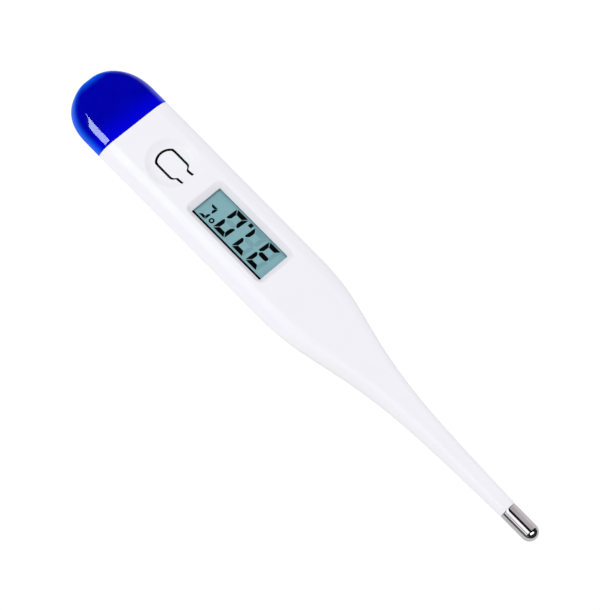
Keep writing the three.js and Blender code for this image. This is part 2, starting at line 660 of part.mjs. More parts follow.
function metal(color, roughness = 0.3) {
  return new THREE.MeshStandardMaterial({ color, roughness, metalness: 1 });
}

const group = new THREE.Group();

function piece(name, made, material) {
  const mesh = new THREE.Mesh(geometryOf(made.translate([-MIDDLE_X, 0, 0])), material);
  mesh.name = name;
  group.add(mesh);
}

piece("housing", makeHousing(), plastic("#f3f1f6"));
piece("display_window", makeLens(), plastic("#dfeaf0", 0.05));
piece("power_button", makeButton(), plastic("#f6f4f8"));
piece("battery_cap", makeCap(), plastic("#0a14c8", 0.15));
piece("probe_tip", makeProbeTip(), metal("#d8d8dc", 0.12));
piece("tip_potting", makePotting(), plastic("#2b2b2e", 0.3));
piece("thermistor_bead", makeBead(), plastic("#1e3a2a", 0.2));
piece("lead_wire_left", makeLeadWire(1), plastic("#c23b22", 0.35));
piece("lead_wire_right", makeLeadWire(-1), plastic("#2456b8", 0.35));

piece("battery_carrier", makeCarrier(), plastic("#e4e6ea"));
piece("battery", makeCell(), metal("#c9ccd2", 0.25));
piece("battery_contact_negative", makeNegativeContact(), metal("#cfc9a8"));
piece("battery_contact_positive", makePositiveContact(), metal("#cfc9a8"));
piece("circuit_board", makeBoard(), plastic("#1d6b3f", 0.45));
piece("chip_glob_top", makeGlobTop(), plastic("#151517", 0.2));
for (const [name, side] of [["left", 1], ["right", -1]]) {
  piece(`chip_capacitor_${name}`, makeChip(CHIP.capacitorX, side * CHIP.y, 0.75), plastic("#a98b62"));
  piece(`chip_resistor_${name}`, makeChip(CHIP.resistorX, side * CHIP.y, 0.45), plastic("#1b1b1f"));
  piece(`solder_joint_${name}`, makeSolder(side), metal("#c4c7cc", 0.25));
}

piece("switch_dome", makeDome(), metal("#d6d2c4", 0.2));
piece("switch_plunger", makePlunger(), plastic("#2f3136", 0.6));

piece("lcd_holder", makeHolder(), plastic("#2f3136", 0.6));
piece("zebra_connector", makeZebra(), plastic("#d9a3a8", 0.7));
piece("lcd_reflector", makeLayer(STACK.reflector, GLASS.ledgeY, FILM_TRIM), plastic("#9fb6b6", 0.4));
piece("lcd_rear_glass", makeLayer(STACK.rear, GLASS.ledgeY), plastic("#b9d2d2", 0.1));
piece("lcd_front_glass", makeLayer(STACK.front, GLASS.plusY), plastic("#b9d2d2", 0.1));
piece("lcd_front_polariser", makeLayer(STACK.polariser, GLASS.ledgeY, FILM_TRIM), plastic("#7fa8af", 0.2));

piece("buzzer_disc", disc(BUZZER.discR, BUZZER.discZ, BUZZER.x), metal("#c8a24a"));
piece("buzzer_ceramic", disc(BUZZER.ceramicR, BUZZER.ceramicZ, BUZZER.x), metal("#d9d9de", 0.5));
piece("buzzer_spring_inner", makeSpring(BUZZER.x, BUZZER.ceramicZ[1]), metal("#d0c9b0"));
piece("buzzer_spring_outer", makeSpring(BUZZER.x - 3.2, BUZZER.discZ[1]), metal("#d0c9b0"));

export default group;
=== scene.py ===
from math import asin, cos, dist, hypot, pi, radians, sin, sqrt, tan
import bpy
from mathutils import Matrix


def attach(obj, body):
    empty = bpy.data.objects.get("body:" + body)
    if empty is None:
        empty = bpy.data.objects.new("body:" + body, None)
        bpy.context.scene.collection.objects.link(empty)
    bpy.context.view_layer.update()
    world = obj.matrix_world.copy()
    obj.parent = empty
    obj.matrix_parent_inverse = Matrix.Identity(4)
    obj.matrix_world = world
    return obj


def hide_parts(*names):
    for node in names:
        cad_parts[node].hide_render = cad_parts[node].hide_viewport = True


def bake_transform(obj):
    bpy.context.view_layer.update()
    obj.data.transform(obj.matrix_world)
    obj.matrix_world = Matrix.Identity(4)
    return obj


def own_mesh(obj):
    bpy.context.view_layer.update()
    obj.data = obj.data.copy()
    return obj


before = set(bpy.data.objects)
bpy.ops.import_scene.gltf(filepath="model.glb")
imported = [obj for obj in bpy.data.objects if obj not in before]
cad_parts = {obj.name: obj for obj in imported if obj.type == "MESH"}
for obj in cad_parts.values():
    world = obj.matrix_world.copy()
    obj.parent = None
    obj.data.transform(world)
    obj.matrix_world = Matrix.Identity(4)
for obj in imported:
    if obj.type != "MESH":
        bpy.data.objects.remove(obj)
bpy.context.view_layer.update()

# Digital stick thermometer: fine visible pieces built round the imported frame.
# Shapes are drawn in millimetres, along the part's own axes and from the part's own datum, and
# finished() turns them into metres and moves them so that the middle is at the origin.
from types import SimpleNamespace as Sizes

import bmesh
import bpy
from mathutils import Vector

MM = 0.001

# ---- driving dimensions ----

TIP_END_X = 63.2
CAP_END_X = -61.6
MIDDLE_X = (TIP_END_X + CAP_END_X) / 2
THICK = 9.5
SEAM_X = -48.0
SEAM_GAP = 0.05
SEAM_BOW = Sizes(per_square=0.0045, reach=4.0)
BODY = Sizes(wide=8.95, waist=8.7, waist_x=-3.0, widest_z=6.95, face_half=5.75)
SHAFT = Sizes(start_x=38.0, end_x=55.7, start_r=2.42, end_r=1.82, fall=0.8, axis_z=6.2)
TAPER_PULL = Sizes(body_x=13.0, body_w=0.15, shaft_x=25.4, shaft_w=1.05)
# how the flat face narrows and sinks into the round shaft
FACE_FADE = Sizes(start=12.0, ratio_body=0.66, ratio_shaft=0.31, ratio_from=8, ratio_to=32,
                  crown=0.975)
BACK_RISE_X = -2.0
BEVEL = Sizes(share=0.49, shaft_share=0.08, slope=0.364)
SHOULDER = Sizes(slope=0.625, weight=0.78)
LOWER = Sizes(tuck=0.27, flat=0.57, weight=0.9)
ROUND_WEIGHT = 0.7071
CAVITY = Sizes(half=7.6, top_half=5.9, ceiling=8.2, floor=1.1, widest_z=6.9, wall=1.2,
               top_share=0.72, mouth_share=0.93)
WINDOW = Sizes(x=-17.95, length=19.15, width=7.5, corner=0.2, sill_z=8.2, sill_thick=0.9)
WINDOW_RIM = Sizes(length=21.65, width=9.7, corner=1.5, soft=0.3)
LENS = Sizes(length=21.0, width=9.6, low=7.75, high=8.18)
DISH = Sizes(x=-37.3, depth=0.8, hollow=0.04, flat_r=3.55, foot_r=4.45, lip_r=4.75, rim_r=5.45)
TONGUE = Sizes(far_x=-40.4, shoulder_x=-34.9, neck_x=-34.3, hinge_x=-32.7, half=2.24,
               neck_half=1.36, end_r=3.0, slot=0.5, under_z=8.2)
GROOVE = Sizes(r=0.45, half=4, back=0.8)  # thins the tongue at its hinge
RAIL = Sizes(x=(-44, -5.4), y=(3.0, 3.8), z=(0.6, 2.25))  # the carrier slides on two of these
LEAD_BORE = Sizes(r=0.9, start_x=36, end_x=54)  # along the solid part of the shaft
CAP = Sizes(nose=2.3, straight=0.3, crown=4.5, belly=5.0, mid_z=7.8, wall=1.2, skirt_end_x=-44.4,
            skirt_gap=0.15, skirt_wall=0.8, notch_half=3.2, notch_drop=1.6)
CELL = Sizes(x=-44.3, r=3.95, base_z=2.95, height=3.6)
BOARD = Sizes(end_x=-4.8, bottom_z=5.0, top_z=5.7)
GLASS = Sizes(start_x=-28.0, end_x=-8.0, minus_y=-4.95, plus_y=5.1, ledge_y=3.75)
STACK = Sizes(polariser=(7.5, 7.65), front=(6.95, 7.48), rear=(6.4, 6.93), reflector=(6.23, 6.38))
KEY = Sizes(x=-37.6, stem_r=1.3, flange_r=1.8, base_z=6.2, flange_z=6.6, top_z=8.05)
DOME = Sizes(r=2.0, rise=0.4, sheet=0.1)
BUZZER = Sizes(x=-17.0, disc_r=3.7, disc_z=(2.82, 3.0), ceramic_r=2.7, ceramic_z=(3.02, 3.15))
SPRING = Sizes(coil_r=0.4, wire_r=0.09, turns=5, apart=3.2)
GLOB = Sizes(x=-29, r=2.8, drop=1.0)
CHIP = Sizes(half=0.8, wide=0.4, core_half=0.55, core_wide=0.38, row_y=2.3, capacitor_x=-35.2,
             resistor_x=-10.5)
TIP = Sizes(r=1.8, neck_r=1.3, neck_inner_r=1.1, inner_r=1.52, neck_x=52.7, play=0.07)
# a lead's slack_x is the stretch that has to give way when the carrier slides; each lead here is
# built as one fixed tube
WIRE = Sizes(r=0.2, spread=0.42, bore_r=0.26, pad_y=1.8, slack_x=(-3.5, 36))
BEAD = Sizes(x=61.4, r=0.55)

# ---- numbers and curves ----


def mix(a, b, t):
    return a + (b - a) * t


def clamp(value, low=0.0, high=1.0):
    return max(low, min(high, value))


def around(middle, half):
    """Limits at equal distances on both sides of a middle."""
    return middle - half, middle + half


def smooth(x, low, high):
    t = clamp((x - low) / (high - low))
    return t * t * (3 - 2 * t)


def conic(a, c, b, weight, ts):
    """Points of a rational quadratic arc from a to b that leans towards its corner c."""
    points = []
    for t in ts:
        wa, wc, wb = (1 - t) ** 2, 2 * weight * t * (1 - t), t * t
        points.append(tuple((wa * a[k] + wc * c[k] + wb * b[k]) / (wa + wc + wb) for k in (0, 1)))
    return points


def bezier2(a, c, b, steps):
    """Points of a plain quadratic curve, both ends included."""
    return conic(a, c, b, 1.0, [i / steps for i in range(steps + 1)])


def cubic(points, t):
    """A point of a cubic Bezier curve."""
    s = 1 - t
    parts = (s ** 3, 3 * s * s * t, 3 * s * t * t, t ** 3)
    return tuple(sum(w * p[k] for w, p in zip(parts, points)) for k in (0, 1))


def arc(r, centre, start, stop, steps):
    """(radius, height) points of a circle about the axis, from start to stop quarter turns."""
    angles = [pi / 2 * mix(start, stop, i / steps) for i in range(steps + 1)]
    return [(r * cos(a), centre + r * sin(a)) for a in angles]


# ---- cross-sections ----

ARC_STEPS = 16  # points along the curved shoulder, and along the lower side
SPAN_STEPS = 14  # cross-sections along the body, and along the shaft
TAPER_STEPS = 56
EDGE_SOFT = 0.3  # reach of the small radius where the flat face turns into the bevel
KNEE_SOFT = 0.35  # and where the bevel turns into the curved shoulder


def section(x, form, inset=0.0):
    """One closed cross-section: flat face, flat bevel, curved shoulder, widest line, lower side."""
    w = form.w - inset
    widest_z = form.widest_z
    top_z = form.top_z - inset
    bottom_z = form.bottom_z + inset
    top_half = max(form.top_half - 0.4 * inset, 0.01)
    blend = form.blend
    knee_y = top_half + mix(BEVEL.shaft_share, BEVEL.share, blend) * (w - top_half)
    knee_z = top_z - BEVEL.slope * blend * (knee_y - top_half)
    corner = (w, knee_z - SHOULDER.slope * blend * (w - knee_y))
    weight = mix(ROUND_WEIGHT, SHOULDER.weight, blend)
    run = knee_y - top_half
    soft = min(EDGE_SOFT, 0.4 * top_half, 0.45 * run)
    slope = (top_z - knee_z) / run
    edge = bezier2((top_half - soft, top_z), (top_half, top_z),
                   (top_half + soft, top_z - slope * soft), 4)
    reach = dist((knee_y, knee_z), corner)
    knee_soft = min(KNEE_SOFT, 0.45 * run, 0.3 * reach)
    cut = knee_soft / (2 * weight * reach)
    ts = [mix(cut, 1.0, i / ARC_STEPS) for i in range(ARC_STEPS + 1)]
    shoulder = conic((knee_y, knee_z), corner, (w, widest_z), weight, ts)
    knee = bezier2((knee_y - knee_soft, knee_z + slope * knee_soft), (knee_y, knee_z),
                   shoulder[0], 4)
    lower = conic((w, widest_z), (w - LOWER.tuck * w * blend, bottom_z),
                  (LOWER.flat * w * blend + 0.02, bottom_z),
                  mix(ROUND_WEIGHT, LOWER.weight, blend),
                  [i / ARC_STEPS for i in range(1, ARC_STEPS + 1)])
    half = edge + knee + shoulder[1:] + lower
    right = [(x, y, z) for y, z in half]
    left = [(x, -y, z) for y, z in reversed(half)]
    return right + left


def bowed(points, x):
    """A cross-section near the seam, with its sides drawn back along the seam's curved line."""
    share = clamp(1 - abs(x - SEAM_X) / SEAM_BOW.reach)
    return [(px - SEAM_BOW.per_square * share * y * y, y, z) for px, y, z in points]


def stations():
    """(x, half-width) from the seam to the probe: straight body, ogee taper, slim shaft."""
    span = BODY.waist_x - SEAM_X
    places = [SEAM_X + step for step in (0.0, 0.03, 0.1, 0.6, 1.2, 2.0, 3.0, SEAM_BOW.reach, 6.5)]
    places += [SEAM_X + span * i / SPAN_STEPS for i in range(3, SPAN_STEPS + 1)]
    found = [(x, mix(BODY.wide, BODY.waist, (x - SEAM_X) / span)) for x in places]
    ends = [
        (BODY.waist_x, BODY.waist),
        (BODY.waist_x + TAPER_PULL.body_x, BODY.waist - TAPER_PULL.body_w),
        (SHAFT.start_x - TAPER_PULL.shaft_x, SHAFT.start_r + TAPER_PULL.shaft_w),
        (SHAFT.start_x, SHAFT.start_r),
    ]
    found += [cubic(ends, i / TAPER_STEPS) for i in range(1, TAPER_STEPS + 1)]
    for i in range(1, SPAN_STEPS + 1):
        t = i / SPAN_STEPS
        found.append((mix(SHAFT.start_x, SHAFT.end_x, t),
                      mix(SHAFT.start_r, SHAFT.end_r, t ** SHAFT.fall)))
    return found


def outer_form(x, w):
    blend = clamp((w - SHAFT.start_r) / (BODY.waist - SHAFT.start_r))
    shaft_w = w if x > SHAFT.start_x else SHAFT.start_r
    flat = mix(FACE_FADE.ratio_body, FACE_FADE.ratio_shaft,
               smooth(x, FACE_FADE.ratio_from, FACE_FADE.ratio_to))
    fade = smooth(x, FACE_FADE.start, SHAFT.start_x)
    return Sizes(
        w=w,
        blend=blend,
        widest_z=mix(SHAFT.axis_z, BODY.widest_z, blend),
        top_z=mix(THICK, SHAFT.axis_z + FACE_FADE.crown * shaft_w, fade),
        top_half=min(BODY.face_half, w * flat),
        bottom_z=(SHAFT.axis_z - shaft_w) * smooth(x, BACK_RISE_X, SHAFT.start_x),
    )


def cavity_form(x, w):
    outer = outer_form(x, w)
    inner = min(CAVITY.half, w - CAVITY.wall)
    return Sizes(
        w=inner,
        blend=outer.blend,
        widest_z=min(CAVITY.widest_z, outer.widest_z),
        top_z=min(CAVITY.ceiling, outer.top_z - CAVITY.wall),
        top_half=min(CAVITY.top_half, inner * CAVITY.top_share),
        bottom_z=outer.bottom_z + CAVITY.floor,
    )


def mouth_form(inset):
    """The cavity's section at its mouth, drawn in on every side."""
    return Sizes(w=CAVITY.half - inset, blend=1.0, widest_z=CAVITY.widest_z,
                top_z=CAVITY.ceiling - inset,
                top_half=CAVITY.top_half * CAVITY.mouth_share - inset * 0.6,
                bottom_z=CAVITY.floor + inset)


def nose_share(s):
    """How far along the rounded nose, past the cap's straight part."""
    return clamp((s - CAP.straight) / (1 - CAP.straight))


def cap_form(x, inset=0.0):
    """The rounded end: half-width, top and underside close in along three superellipses."""
    reach = SEAM_X - CAP_END_X - inset
    s = clamp((SEAM_X - x) / reach)
    plan = (1 - nose_share(s) ** CAP.nose) ** (1 / CAP.nose)
    rise = (1 - s ** CAP.crown) ** (1 / CAP.crown)
    drop = (1 - s ** CAP.belly) ** (1 / CAP.belly)
    mid = CAP.mid_z
    return Sizes(w=(BODY.wide - inset) * plan, blend=1.0,
                widest_z=mix(mid, BODY.widest_z, rise),
                top_z=mid + (THICK - inset - mid) * rise,
                top_half=(BODY.face_half - inset * 0.4) * plan,
                bottom_z=mid - (mid - inset) * drop)


# ---- solids as bmeshes in millimetres ----


def loft(rings, fan=False):
    """A closed skin over rings with equal point counts. Curved ends are closed by a fan."""
    bm = bmesh.new()
    rows = [[bm.verts.new(p) for p in ring] for ring in rings]
    for a, b in zip(rows, rows[1:]):
        for i in range(len(a)):
            j = (i + 1) % len(a)
            bm.faces.new((a[i], a[j], b[j], b[i]))
    for row in (rows[0], rows[-1]):
        if fan:
            middle = bm.verts.new(sum((v.co for v in row), Vector()) / len(row))
            for a, b in zip(row, row[1:] + row[:1]):
                bm.faces.new((a, b, middle))
        else:
            bm.faces.new(row)
    bmesh.ops.recalc_face_normals(bm, faces=bm.faces[:])
    return bm


def turned(profile, facets=64, ring=False, along_x=False, at=(0, 0, 0)):
    """A turned solid from (radius, height) points. A ring's profile closes on itself."""
    bm = bmesh.new()
    rows = []
    for k in range(facets):
        angle = 2 * pi * k / facets
        c, s = cos(angle), sin(angle)
        points = [(h, r * c, r * s) if along_x else (r * c, r * s, h) for r, h in profile]
        rows.append([bm.verts.new(Vector(p) + Vector(at)) for p in points])
    count = len(profile)
    for k in range(facets):
        a, b = rows[k], rows[(k + 1) % facets]
        for i in range(count if ring else count - 1):
            j = (i + 1) % count
            bm.faces.new((a[i], b[i], b[j], a[j]))
    bmesh.ops.remove_doubles(bm, verts=bm.verts[:], dist=1e-5)
    bmesh.ops.recalc_face_normals(bm, faces=bm.faces[:])
    return bm


def on_axis(profile, facets, x=0.0, y=0.0):
    """A solid turned about the probe's axis, or beside it."""
    return turned(profile, facets, along_x=True, at=(x, y, SHAFT.axis_z))


def rod(r, start, end):
    """The profile of a plain round bar."""
    return [(0, start), (r, start), (r, end), (0, end)]


def prism(outline, low, high, edge=0.0, segments=2):
    """A flat outline pushed straight up, with its rims softened if edge is given."""
    bm = loft([[(x, y, z) for x, y in outline] for z in (low, high)])
    if edge:
        rims = [e for e in bm.edges if abs(e.verts[0].co.z - e.verts[1].co.z) < 1e-6]
        bmesh.ops.bevel(bm, geom=rims, offset=edge, segments=segments, profile=0.5,
                        affect="EDGES", clamp_overlap=True)
    return bm


def block(x, y, z, edge=0.06):
    """A box between three pairs of limits, with rounded edges."""
    bm = bmesh.new()
    bmesh.ops.create_cube(bm, size=1)
    for v in bm.verts:
        for k, (low, high) in enumerate((x, y, z)):
            v.co[k] = mix(low, high, v.co[k] + 0.5)
    if edge:
        bmesh.ops.bevel(bm, geom=bm.edges[:], offset=edge, segments=2, profile=0.5, affect="EDGES")
    return bm


def spline(points, steps):
    """A smooth path through points, as Catmull-Rom pieces."""
    points = [Vector(p) for p in points]
    padded = [2 * points[0] - points[1], *points, 2 * points[-1] - points[-2]]
    path = []
    for a, b, c, d in zip(padded, padded[1:], padded[2:], padded[3:]):
        for i in range(steps):
            t = i / steps
            path.append(0.5 * (2 * b + (c - a) * t + (2 * a - 5 * b + 4 * c - d) * t ** 2
                               + (3 * b - a - 3 * c + d) * t ** 3))
    path.append(points[-1])
    return path


def tube(path, radius, sides=12):
    """A round wire along a path, with closed ends."""
    rings = []
    side = Vector((0, 0, 1))
    for i, p in enumerate(path):
        along = (path[min(i + 1, len(path) - 1)] - path[max(i - 1, 0)]).normalized()
        side = (side - along * side.dot(along)).normalized()
        other = along.cross(side)
        angles = [2 * pi * k / sides for k in range(sides)]
        rings.append([p + radius * (side * cos(a) + other * sin(a)) for a in angles])
    return loft(rings)


def shown(name, data):
    """A new object in the scene."""
    made = bpy.data.objects.new(name, data)
    bpy.context.scene.collection.objects.link(made)
    return made


def as_object(name, bm):
    """A bmesh as an object in the scene. The bmesh is used up."""
    mesh = bpy.data.meshes.new(name)
    bm.to_mesh(mesh)
    bm.free()
    return shown(name, mesh)


def combine(bm, other, operation="DIFFERENCE"):
    """A boolean of two closed bmeshes. Both are used up."""
    parts = [as_object("part", bm), as_object("part", other)]
    modifier = parts[0].modifiers.new("combine", "BOOLEAN")
    modifier.object = parts[1]
    modifier.operation = operation
    modifier.solver = "MANIFOLD"
    bpy.context.view_layer.update()
    made = bmesh.new()
    made.from_object(parts[0], bpy.context.evaluated_depsgraph_get())
    for part in parts:
        mesh = part.data
        bpy.data.objects.remove(part)
        bpy.data.meshes.remove(mesh)
    return made


def finished(name, bm, finish, body, stands_for=None, sharp=32.0):
    """The bmesh as a piece in metres, smooth between sharp edges, riding on its body."""
    bmesh.ops.remove_doubles(bm, verts=bm.verts[:], dist=1e-4)
    bmesh.ops.dissolve_degenerate(bm, edges=bm.edges[:], dist=1e-5)
    bmesh.ops.recalc_face_normals(bm, faces=bm.faces[:])
    bmesh.ops.translate(bm, vec=(-MIDDLE_X, 0, 0), verts=bm.verts[:])
    bmesh.ops.scale(bm, vec=(MM, MM, MM), verts=bm.verts[:])
    for face in bm.faces:
        face.smooth = True
    piece = as_object(name, bm)
    piece.data.set_sharp_from_angle(angle=radians(sharp))
    piece.data.materials.append(finish)
    weighted = piece.modifiers.new("even_shading", "WEIGHTED_NORMAL")
    weighted.keep_sharp = True
    if body:
        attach(piece, body)
    if stands_for:
        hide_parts(stands_for)
    return piece


# ---- materials ----


def feed(tree, target, value):
    """Wires a socket to an input, or gives the input a plain value."""
    if isinstance(value, bpy.types.NodeSocket):
        tree.links.new(value, target)
    else:
        target.default_value = value


class Finish:
    """A Principled material and short calls that wire procedural detail into it."""

    def __init__(self, name, **sockets):
        self.material = bpy.data.materials.new(name)
        self.material.use_nodes = True
        self.tree = self.material.node_tree
        self.shader = self.tree.nodes["Principled BSDF"]
        self.place = self.tree.nodes.new("ShaderNodeTexCoord").outputs["Object"]
        for socket, value in sockets.items():
            self.shader.inputs[socket.replace("_", " ")].default_value = value

    def node(self, kind, inputs, **settings):
        made = self.tree.nodes.new("ShaderNode" + kind)
        for key, value in settings.items():
            setattr(made, key, value)
        for key, value in inputs.items():
            feed(self.tree, made.inputs[key], value)
        return made

    def noise(self, scale, detail=3.0, stretch=None):
        """A noise value between about 0.3 and 0.7. Scale is in features per metre."""
        place = self.place
        if stretch:
            place = self.node("Mapping", {"Vector": place, "Scale": stretch}).outputs["Vector"]
        made = self.node("TexNoise", {"Vector": place, "Scale": scale, "Detail": detail})
        return made.outputs["Fac"]

    def spread(self, value, low, high, start=0.3, stop=0.7):
        """A value stretched from one range to another."""
        return self.node("MapRange", {"Value": value, "From Min": start, "From Max": stop,
                                      "To Min": low, "To Max": high}).outputs["Result"]

    def between(self, factor, first, second):
        """A colour between two others."""
        made = self.node("Mix", {"Factor": factor}, data_type="RGBA")
        for key, value in ((6, first), (7, second)):
            feed(self.tree, made.inputs[key], (*value, 1.0) if isinstance(value, tuple) else value)
        return made.outputs[2]

    def mottled(self, first, second, scale, detail=3.0):
        """A colour that wanders in clouds between two others."""
        return self.between(self.spread(self.noise(scale, detail), 0, 1), first, second)

    def colour(self, value):
        self.tree.links.new(value, self.shader.inputs["Base Color"])

    def roughness(self, value, low, high):
        """Gloss that follows a noise value between two limits."""
        self.tree.links.new(self.spread(value, low, high), self.shader.inputs["Roughness"])

    def bump(self, value, depth):
        """Fine relief whose depth is in metres."""
        made = self.node("Bump", {"Height": value, "Distance": depth})
        self.tree.links.new(made.outputs["Normal"], self.shader.inputs["Normal"])


def shade(colour, factor):
    return tuple(c * factor for c in colour)


def moulded(name, colour, rough=0.35, vary=0.05, mottle=0.03, grain=2600, depth=2e-6, **sockets):
    """Moulded plastic: faint cloudy tone, uneven gloss and a fine skin texture."""
    finish = Finish(name, **sockets)
    finish.colour(finish.mottled(shade(colour, 1 - mottle), colour, 140))
    finish.roughness(finish.noise(420), rough - vary, rough + vary)
    finish.bump(finish.noise(grain, 2), depth)
    return finish.material


def brushed(name, colour, rough=0.28, vary=0.08, stretch=(8, 1, 1), scale=900, depth=1.5e-6):
    """Plated or rolled metal with drawn lines and faint tarnish."""
    finish = Finish(name, Metallic=1.0)
    lines = finish.noise(scale, 4, stretch)
    tone = finish.mottled(shade(colour, 0.82), colour, 260, 4)
    finish.colour(finish.between(finish.spread(lines, 0, 0.25), tone, (0.9, 0.9, 0.9)))
    finish.roughness(lines, rough - vary, rough + vary)
    finish.bump(lines, depth)
    return finish.material


def cap_plastic():
    """Deep blue and glossy, with painted light: lighter towards its outline and near the seam (see
    paint_cap).
    """
    finish = Finish("cap_blue_gloss", IOR=1.48)
    # painted light: lighter blue along the outline and on the lower side, and a lighter band by the
    # seam
    rim = finish.node("Attribute", {}, attribute_name="painted_rim_light").outputs["Fac"]
    glow = finish.node("Attribute", {}, attribute_name="painted_seam_light").outputs["Fac"]
    deep = finish.mottled((0.0, 0.0, 0.35), (0.0, 0.0008, 0.41), 300)
    seam = finish.between(glow, deep, (0.0, 0.0, 0.80))
    finish.colour(finish.between(rim, seam, (0.0, 0.10, 0.84)))
    finish.roughness(finish.noise(500, 4), 0.04, 0.055)
    finish.bump(finish.noise(180, 2), 1.5e-7)
    return finish.material


def probe_metal():
    """Polished drawn tube: mirror-like with faint turning lines."""
    finish = Finish("probe_steel_polished", Metallic=1.0)
    lines = finish.noise(700, 4, (14, 1, 1))
    finish.colour(finish.mottled((0.74, 0.72, 0.74), (0.83, 0.82, 0.84), 350))
    finish.roughness(lines, 0.03, 0.07)
    finish.bump(lines, 1e-7)
    return finish.material


def clear_plastic(name, tint, weight):
    """A thin clear plate: mostly see-through, with a gloss that grows at grazing angles."""
    finish = Finish(name)
    finish.roughness(finish.noise(600), 0.04, 0.08)
    haze = finish.spread(finish.noise(200, 2), 0.0, 0.006)
    finish.colour(finish.between(haze, (0.0, 0.0, 0.0), tint))
    through = finish.node("BsdfTransparent", {"Color": (*tint, 1.0)}).outputs["BSDF"]
    gloss = finish.node("Fresnel", {"IOR": 1.3}).outputs["Fac"]
    both = finish.node("MixShader", {"Fac": finish.spread(gloss, weight, 0.6, 0, 1), 1: through,
                                     2: finish.shader.outputs["BSDF"]})
    finish.tree.links.new(both.outputs["Shader"], finish.tree.nodes["Material Output"].inputs[0])
    return finish.material


def lcd_face():
    """Reflective grey-green display: soft clouds over a fine sparkle of the reflector."""
    finish = Finish("lcd_face_grey_green", Specular_IOR_Level=0.2)
    grain = finish.noise(9000, 2)
    base = finish.mottled((0.325, 0.595, 0.63), (0.358, 0.632, 0.668), 380, 4)
    finish.colour(finish.between(finish.spread(grain, 0, 0.35), base, (0.41, 0.65, 0.685)))
    finish.roughness(grain, 0.45, 0.6)
    finish.bump(grain, 1.5e-6)
    return finish.material


def lcd_ink(name, colour):
    finish = Finish(name, Specular_IOR_Level=0.15)
    grain = finish.noise(7000, 2)
    finish.colour(finish.between(finish.spread(grain, 0, 1), shade(colour, 0.8), colour))
    finish.roughness(grain, 0.45, 0.6)
    return finish.material


def circuit_green():
    """Solder mask over tracks: narrow lighter runs along the board and small vias."""
    finish = Finish("board_solder_mask")
    tracks = finish.node("TexWave", {"Vector": finish.place, "Scale": 260.0, "Distortion": 1.6,
                                     "Detail": 1.0, "Detail Scale": 0.6},
                         wave_type="BANDS", bands_direction="Y").outputs["Fac"]
    line = finish.spread(tracks, 0, 1, 0.72, 0.8)
    vias = finish.node("TexVoronoi", {"Vector": finish.place, "Scale": 420.0}).outputs["Distance"]
    hole = finish.spread(vias, 1, 0, 0.10, 0.16)
    base = finish.mottled((0.012, 0.12, 0.045), (0.02, 0.16, 0.06), 500)
    run = finish.between(line, base, (0.035, 0.26, 0.10))
    finish.colour(finish.between(hole, run, (0.5, 0.42, 0.2)))
    finish.roughness(finish.noise(900), 0.3, 0.45)
    finish.bump(line, 1.2e-5)
    return finish.material


def striped_rubber():
    """Elastomer connector: dark conducting layers between pink insulating ones."""
    finish = Finish("connector_layers")
    layers = finish.node("TexWave", {"Vector": finish.place, "Scale": 1600.0},
                         wave_type="BANDS", bands_direction="X").outputs["Fac"]
    finish.colour(finish.between(finish.spread(layers, 0, 1, 0.45, 0.55), (0.62, 0.3, 0.33),
                                 (0.03, 0.03, 0.035)))
    finish.roughness(finish.noise(1500), 0.6, 0.8)
    finish.bump(layers, 8e-6)
    return finish.material


def ceramic(name, colour, speck, rough=0.55):
    """Fired ceramic or paste with fine specks."""
    finish = Finish(name)
    grain = finish.noise(5200)
    finish.colour(finish.between(finish.spread(grain, 0, 1), speck, colour))
    finish.roughness(finish.noise(1200), rough - 0.1, rough + 0.1)
    finish.bump(grain, 6e-6)
    return finish.material


HOUSING = moulded("white_abs", (0.885, 0.872, 0.905), 0.36, 0.04, 0.012, IOR=1.46)
# painted shade: a near-black finish for the walls of the tongue's slot, standing in for the dark
# down in the slot
SLOT_PAINTED_SHADE = moulded("slot_wall_painted_shade", (0.012, 0.012, 0.014), 0.6, 0.05, 0.2)
BLUE = cap_plastic()
CHROME = probe_metal()
CLEAR = clear_plastic("window_clear", (0.97, 0.985, 0.99), 0.015)
GLASS_CLEAR = clear_plastic("lcd_glass_edge", (0.80, 0.9, 0.9), 0.06)
LCD_FACE = lcd_face()
LCD_BLACK = lcd_ink("lcd_segment_black", (0.0008, 0.0009, 0.001))
LCD_GHOST = lcd_ink("lcd_segment_off", (0.318, 0.57, 0.607))
REFLECTOR = brushed("lcd_reflector_foil", (0.62, 0.68, 0.68), 0.4)
TRAY_WHITE = moulded("carrier_natural_white", (0.74, 0.75, 0.74), 0.48, 0.07, 0.05, depth=4e-6)
PLUNGER_GREY = moulded("plunger_grey_nylon", (0.05, 0.052, 0.058), 0.55, 0.08, 0.2, depth=4e-6)
POTTING = moulded("black_epoxy", (0.018, 0.018, 0.02), 0.2, 0.08, 0.3, grain=900, depth=1e-5)
BEAD_GREEN = moulded("bead_glaze", (0.02, 0.09, 0.05), 0.15, 0.05, 0.3, grain=1500, depth=6e-6)
RED_LEAD = moulded("lead_insulation_red", (0.5, 0.03, 0.015), 0.4, 0.06, 0.1, depth=4e-6)
BLUE_LEAD = moulded("lead_insulation_blue", (0.015, 0.08, 0.42), 0.4, 0.06, 0.1, depth=4e-6)
PLATING = brushed("nickel_plated_strip", (0.66, 0.62, 0.52), 0.25)
CELL_STEEL = brushed("cell_nickel_steel", (0.62, 0.63, 0.65), 0.26, stretch=(1, 1, 1), scale=1500)
GASKET = moulded("cell_gasket", (0.03, 0.03, 0.035), 0.5, 0.08, 0.2)
SOLDER = brushed("solder_bright", (0.62, 0.63, 0.64), 0.22, 0.1, (1, 1, 1), 1800, 4e-6)
BRASS = brushed("buzzer_brass", (0.62, 0.43, 0.13), 0.3)
SILVERED = ceramic("silvered_ceramic", (0.66, 0.66, 0.68), (0.5, 0.5, 0.52), 0.4)
TAN = ceramic("capacitor_tan", (0.42, 0.27, 0.14), (0.3, 0.19, 0.1))
TINNED = brushed("chip_tinned_end", (0.6, 0.6, 0.6), 0.35, 0.1, (1, 1, 1), 2500, 4e-6)
BOARD_GREEN = circuit_green()
ELASTOMER = striped_rubber()

# ---- camera ----

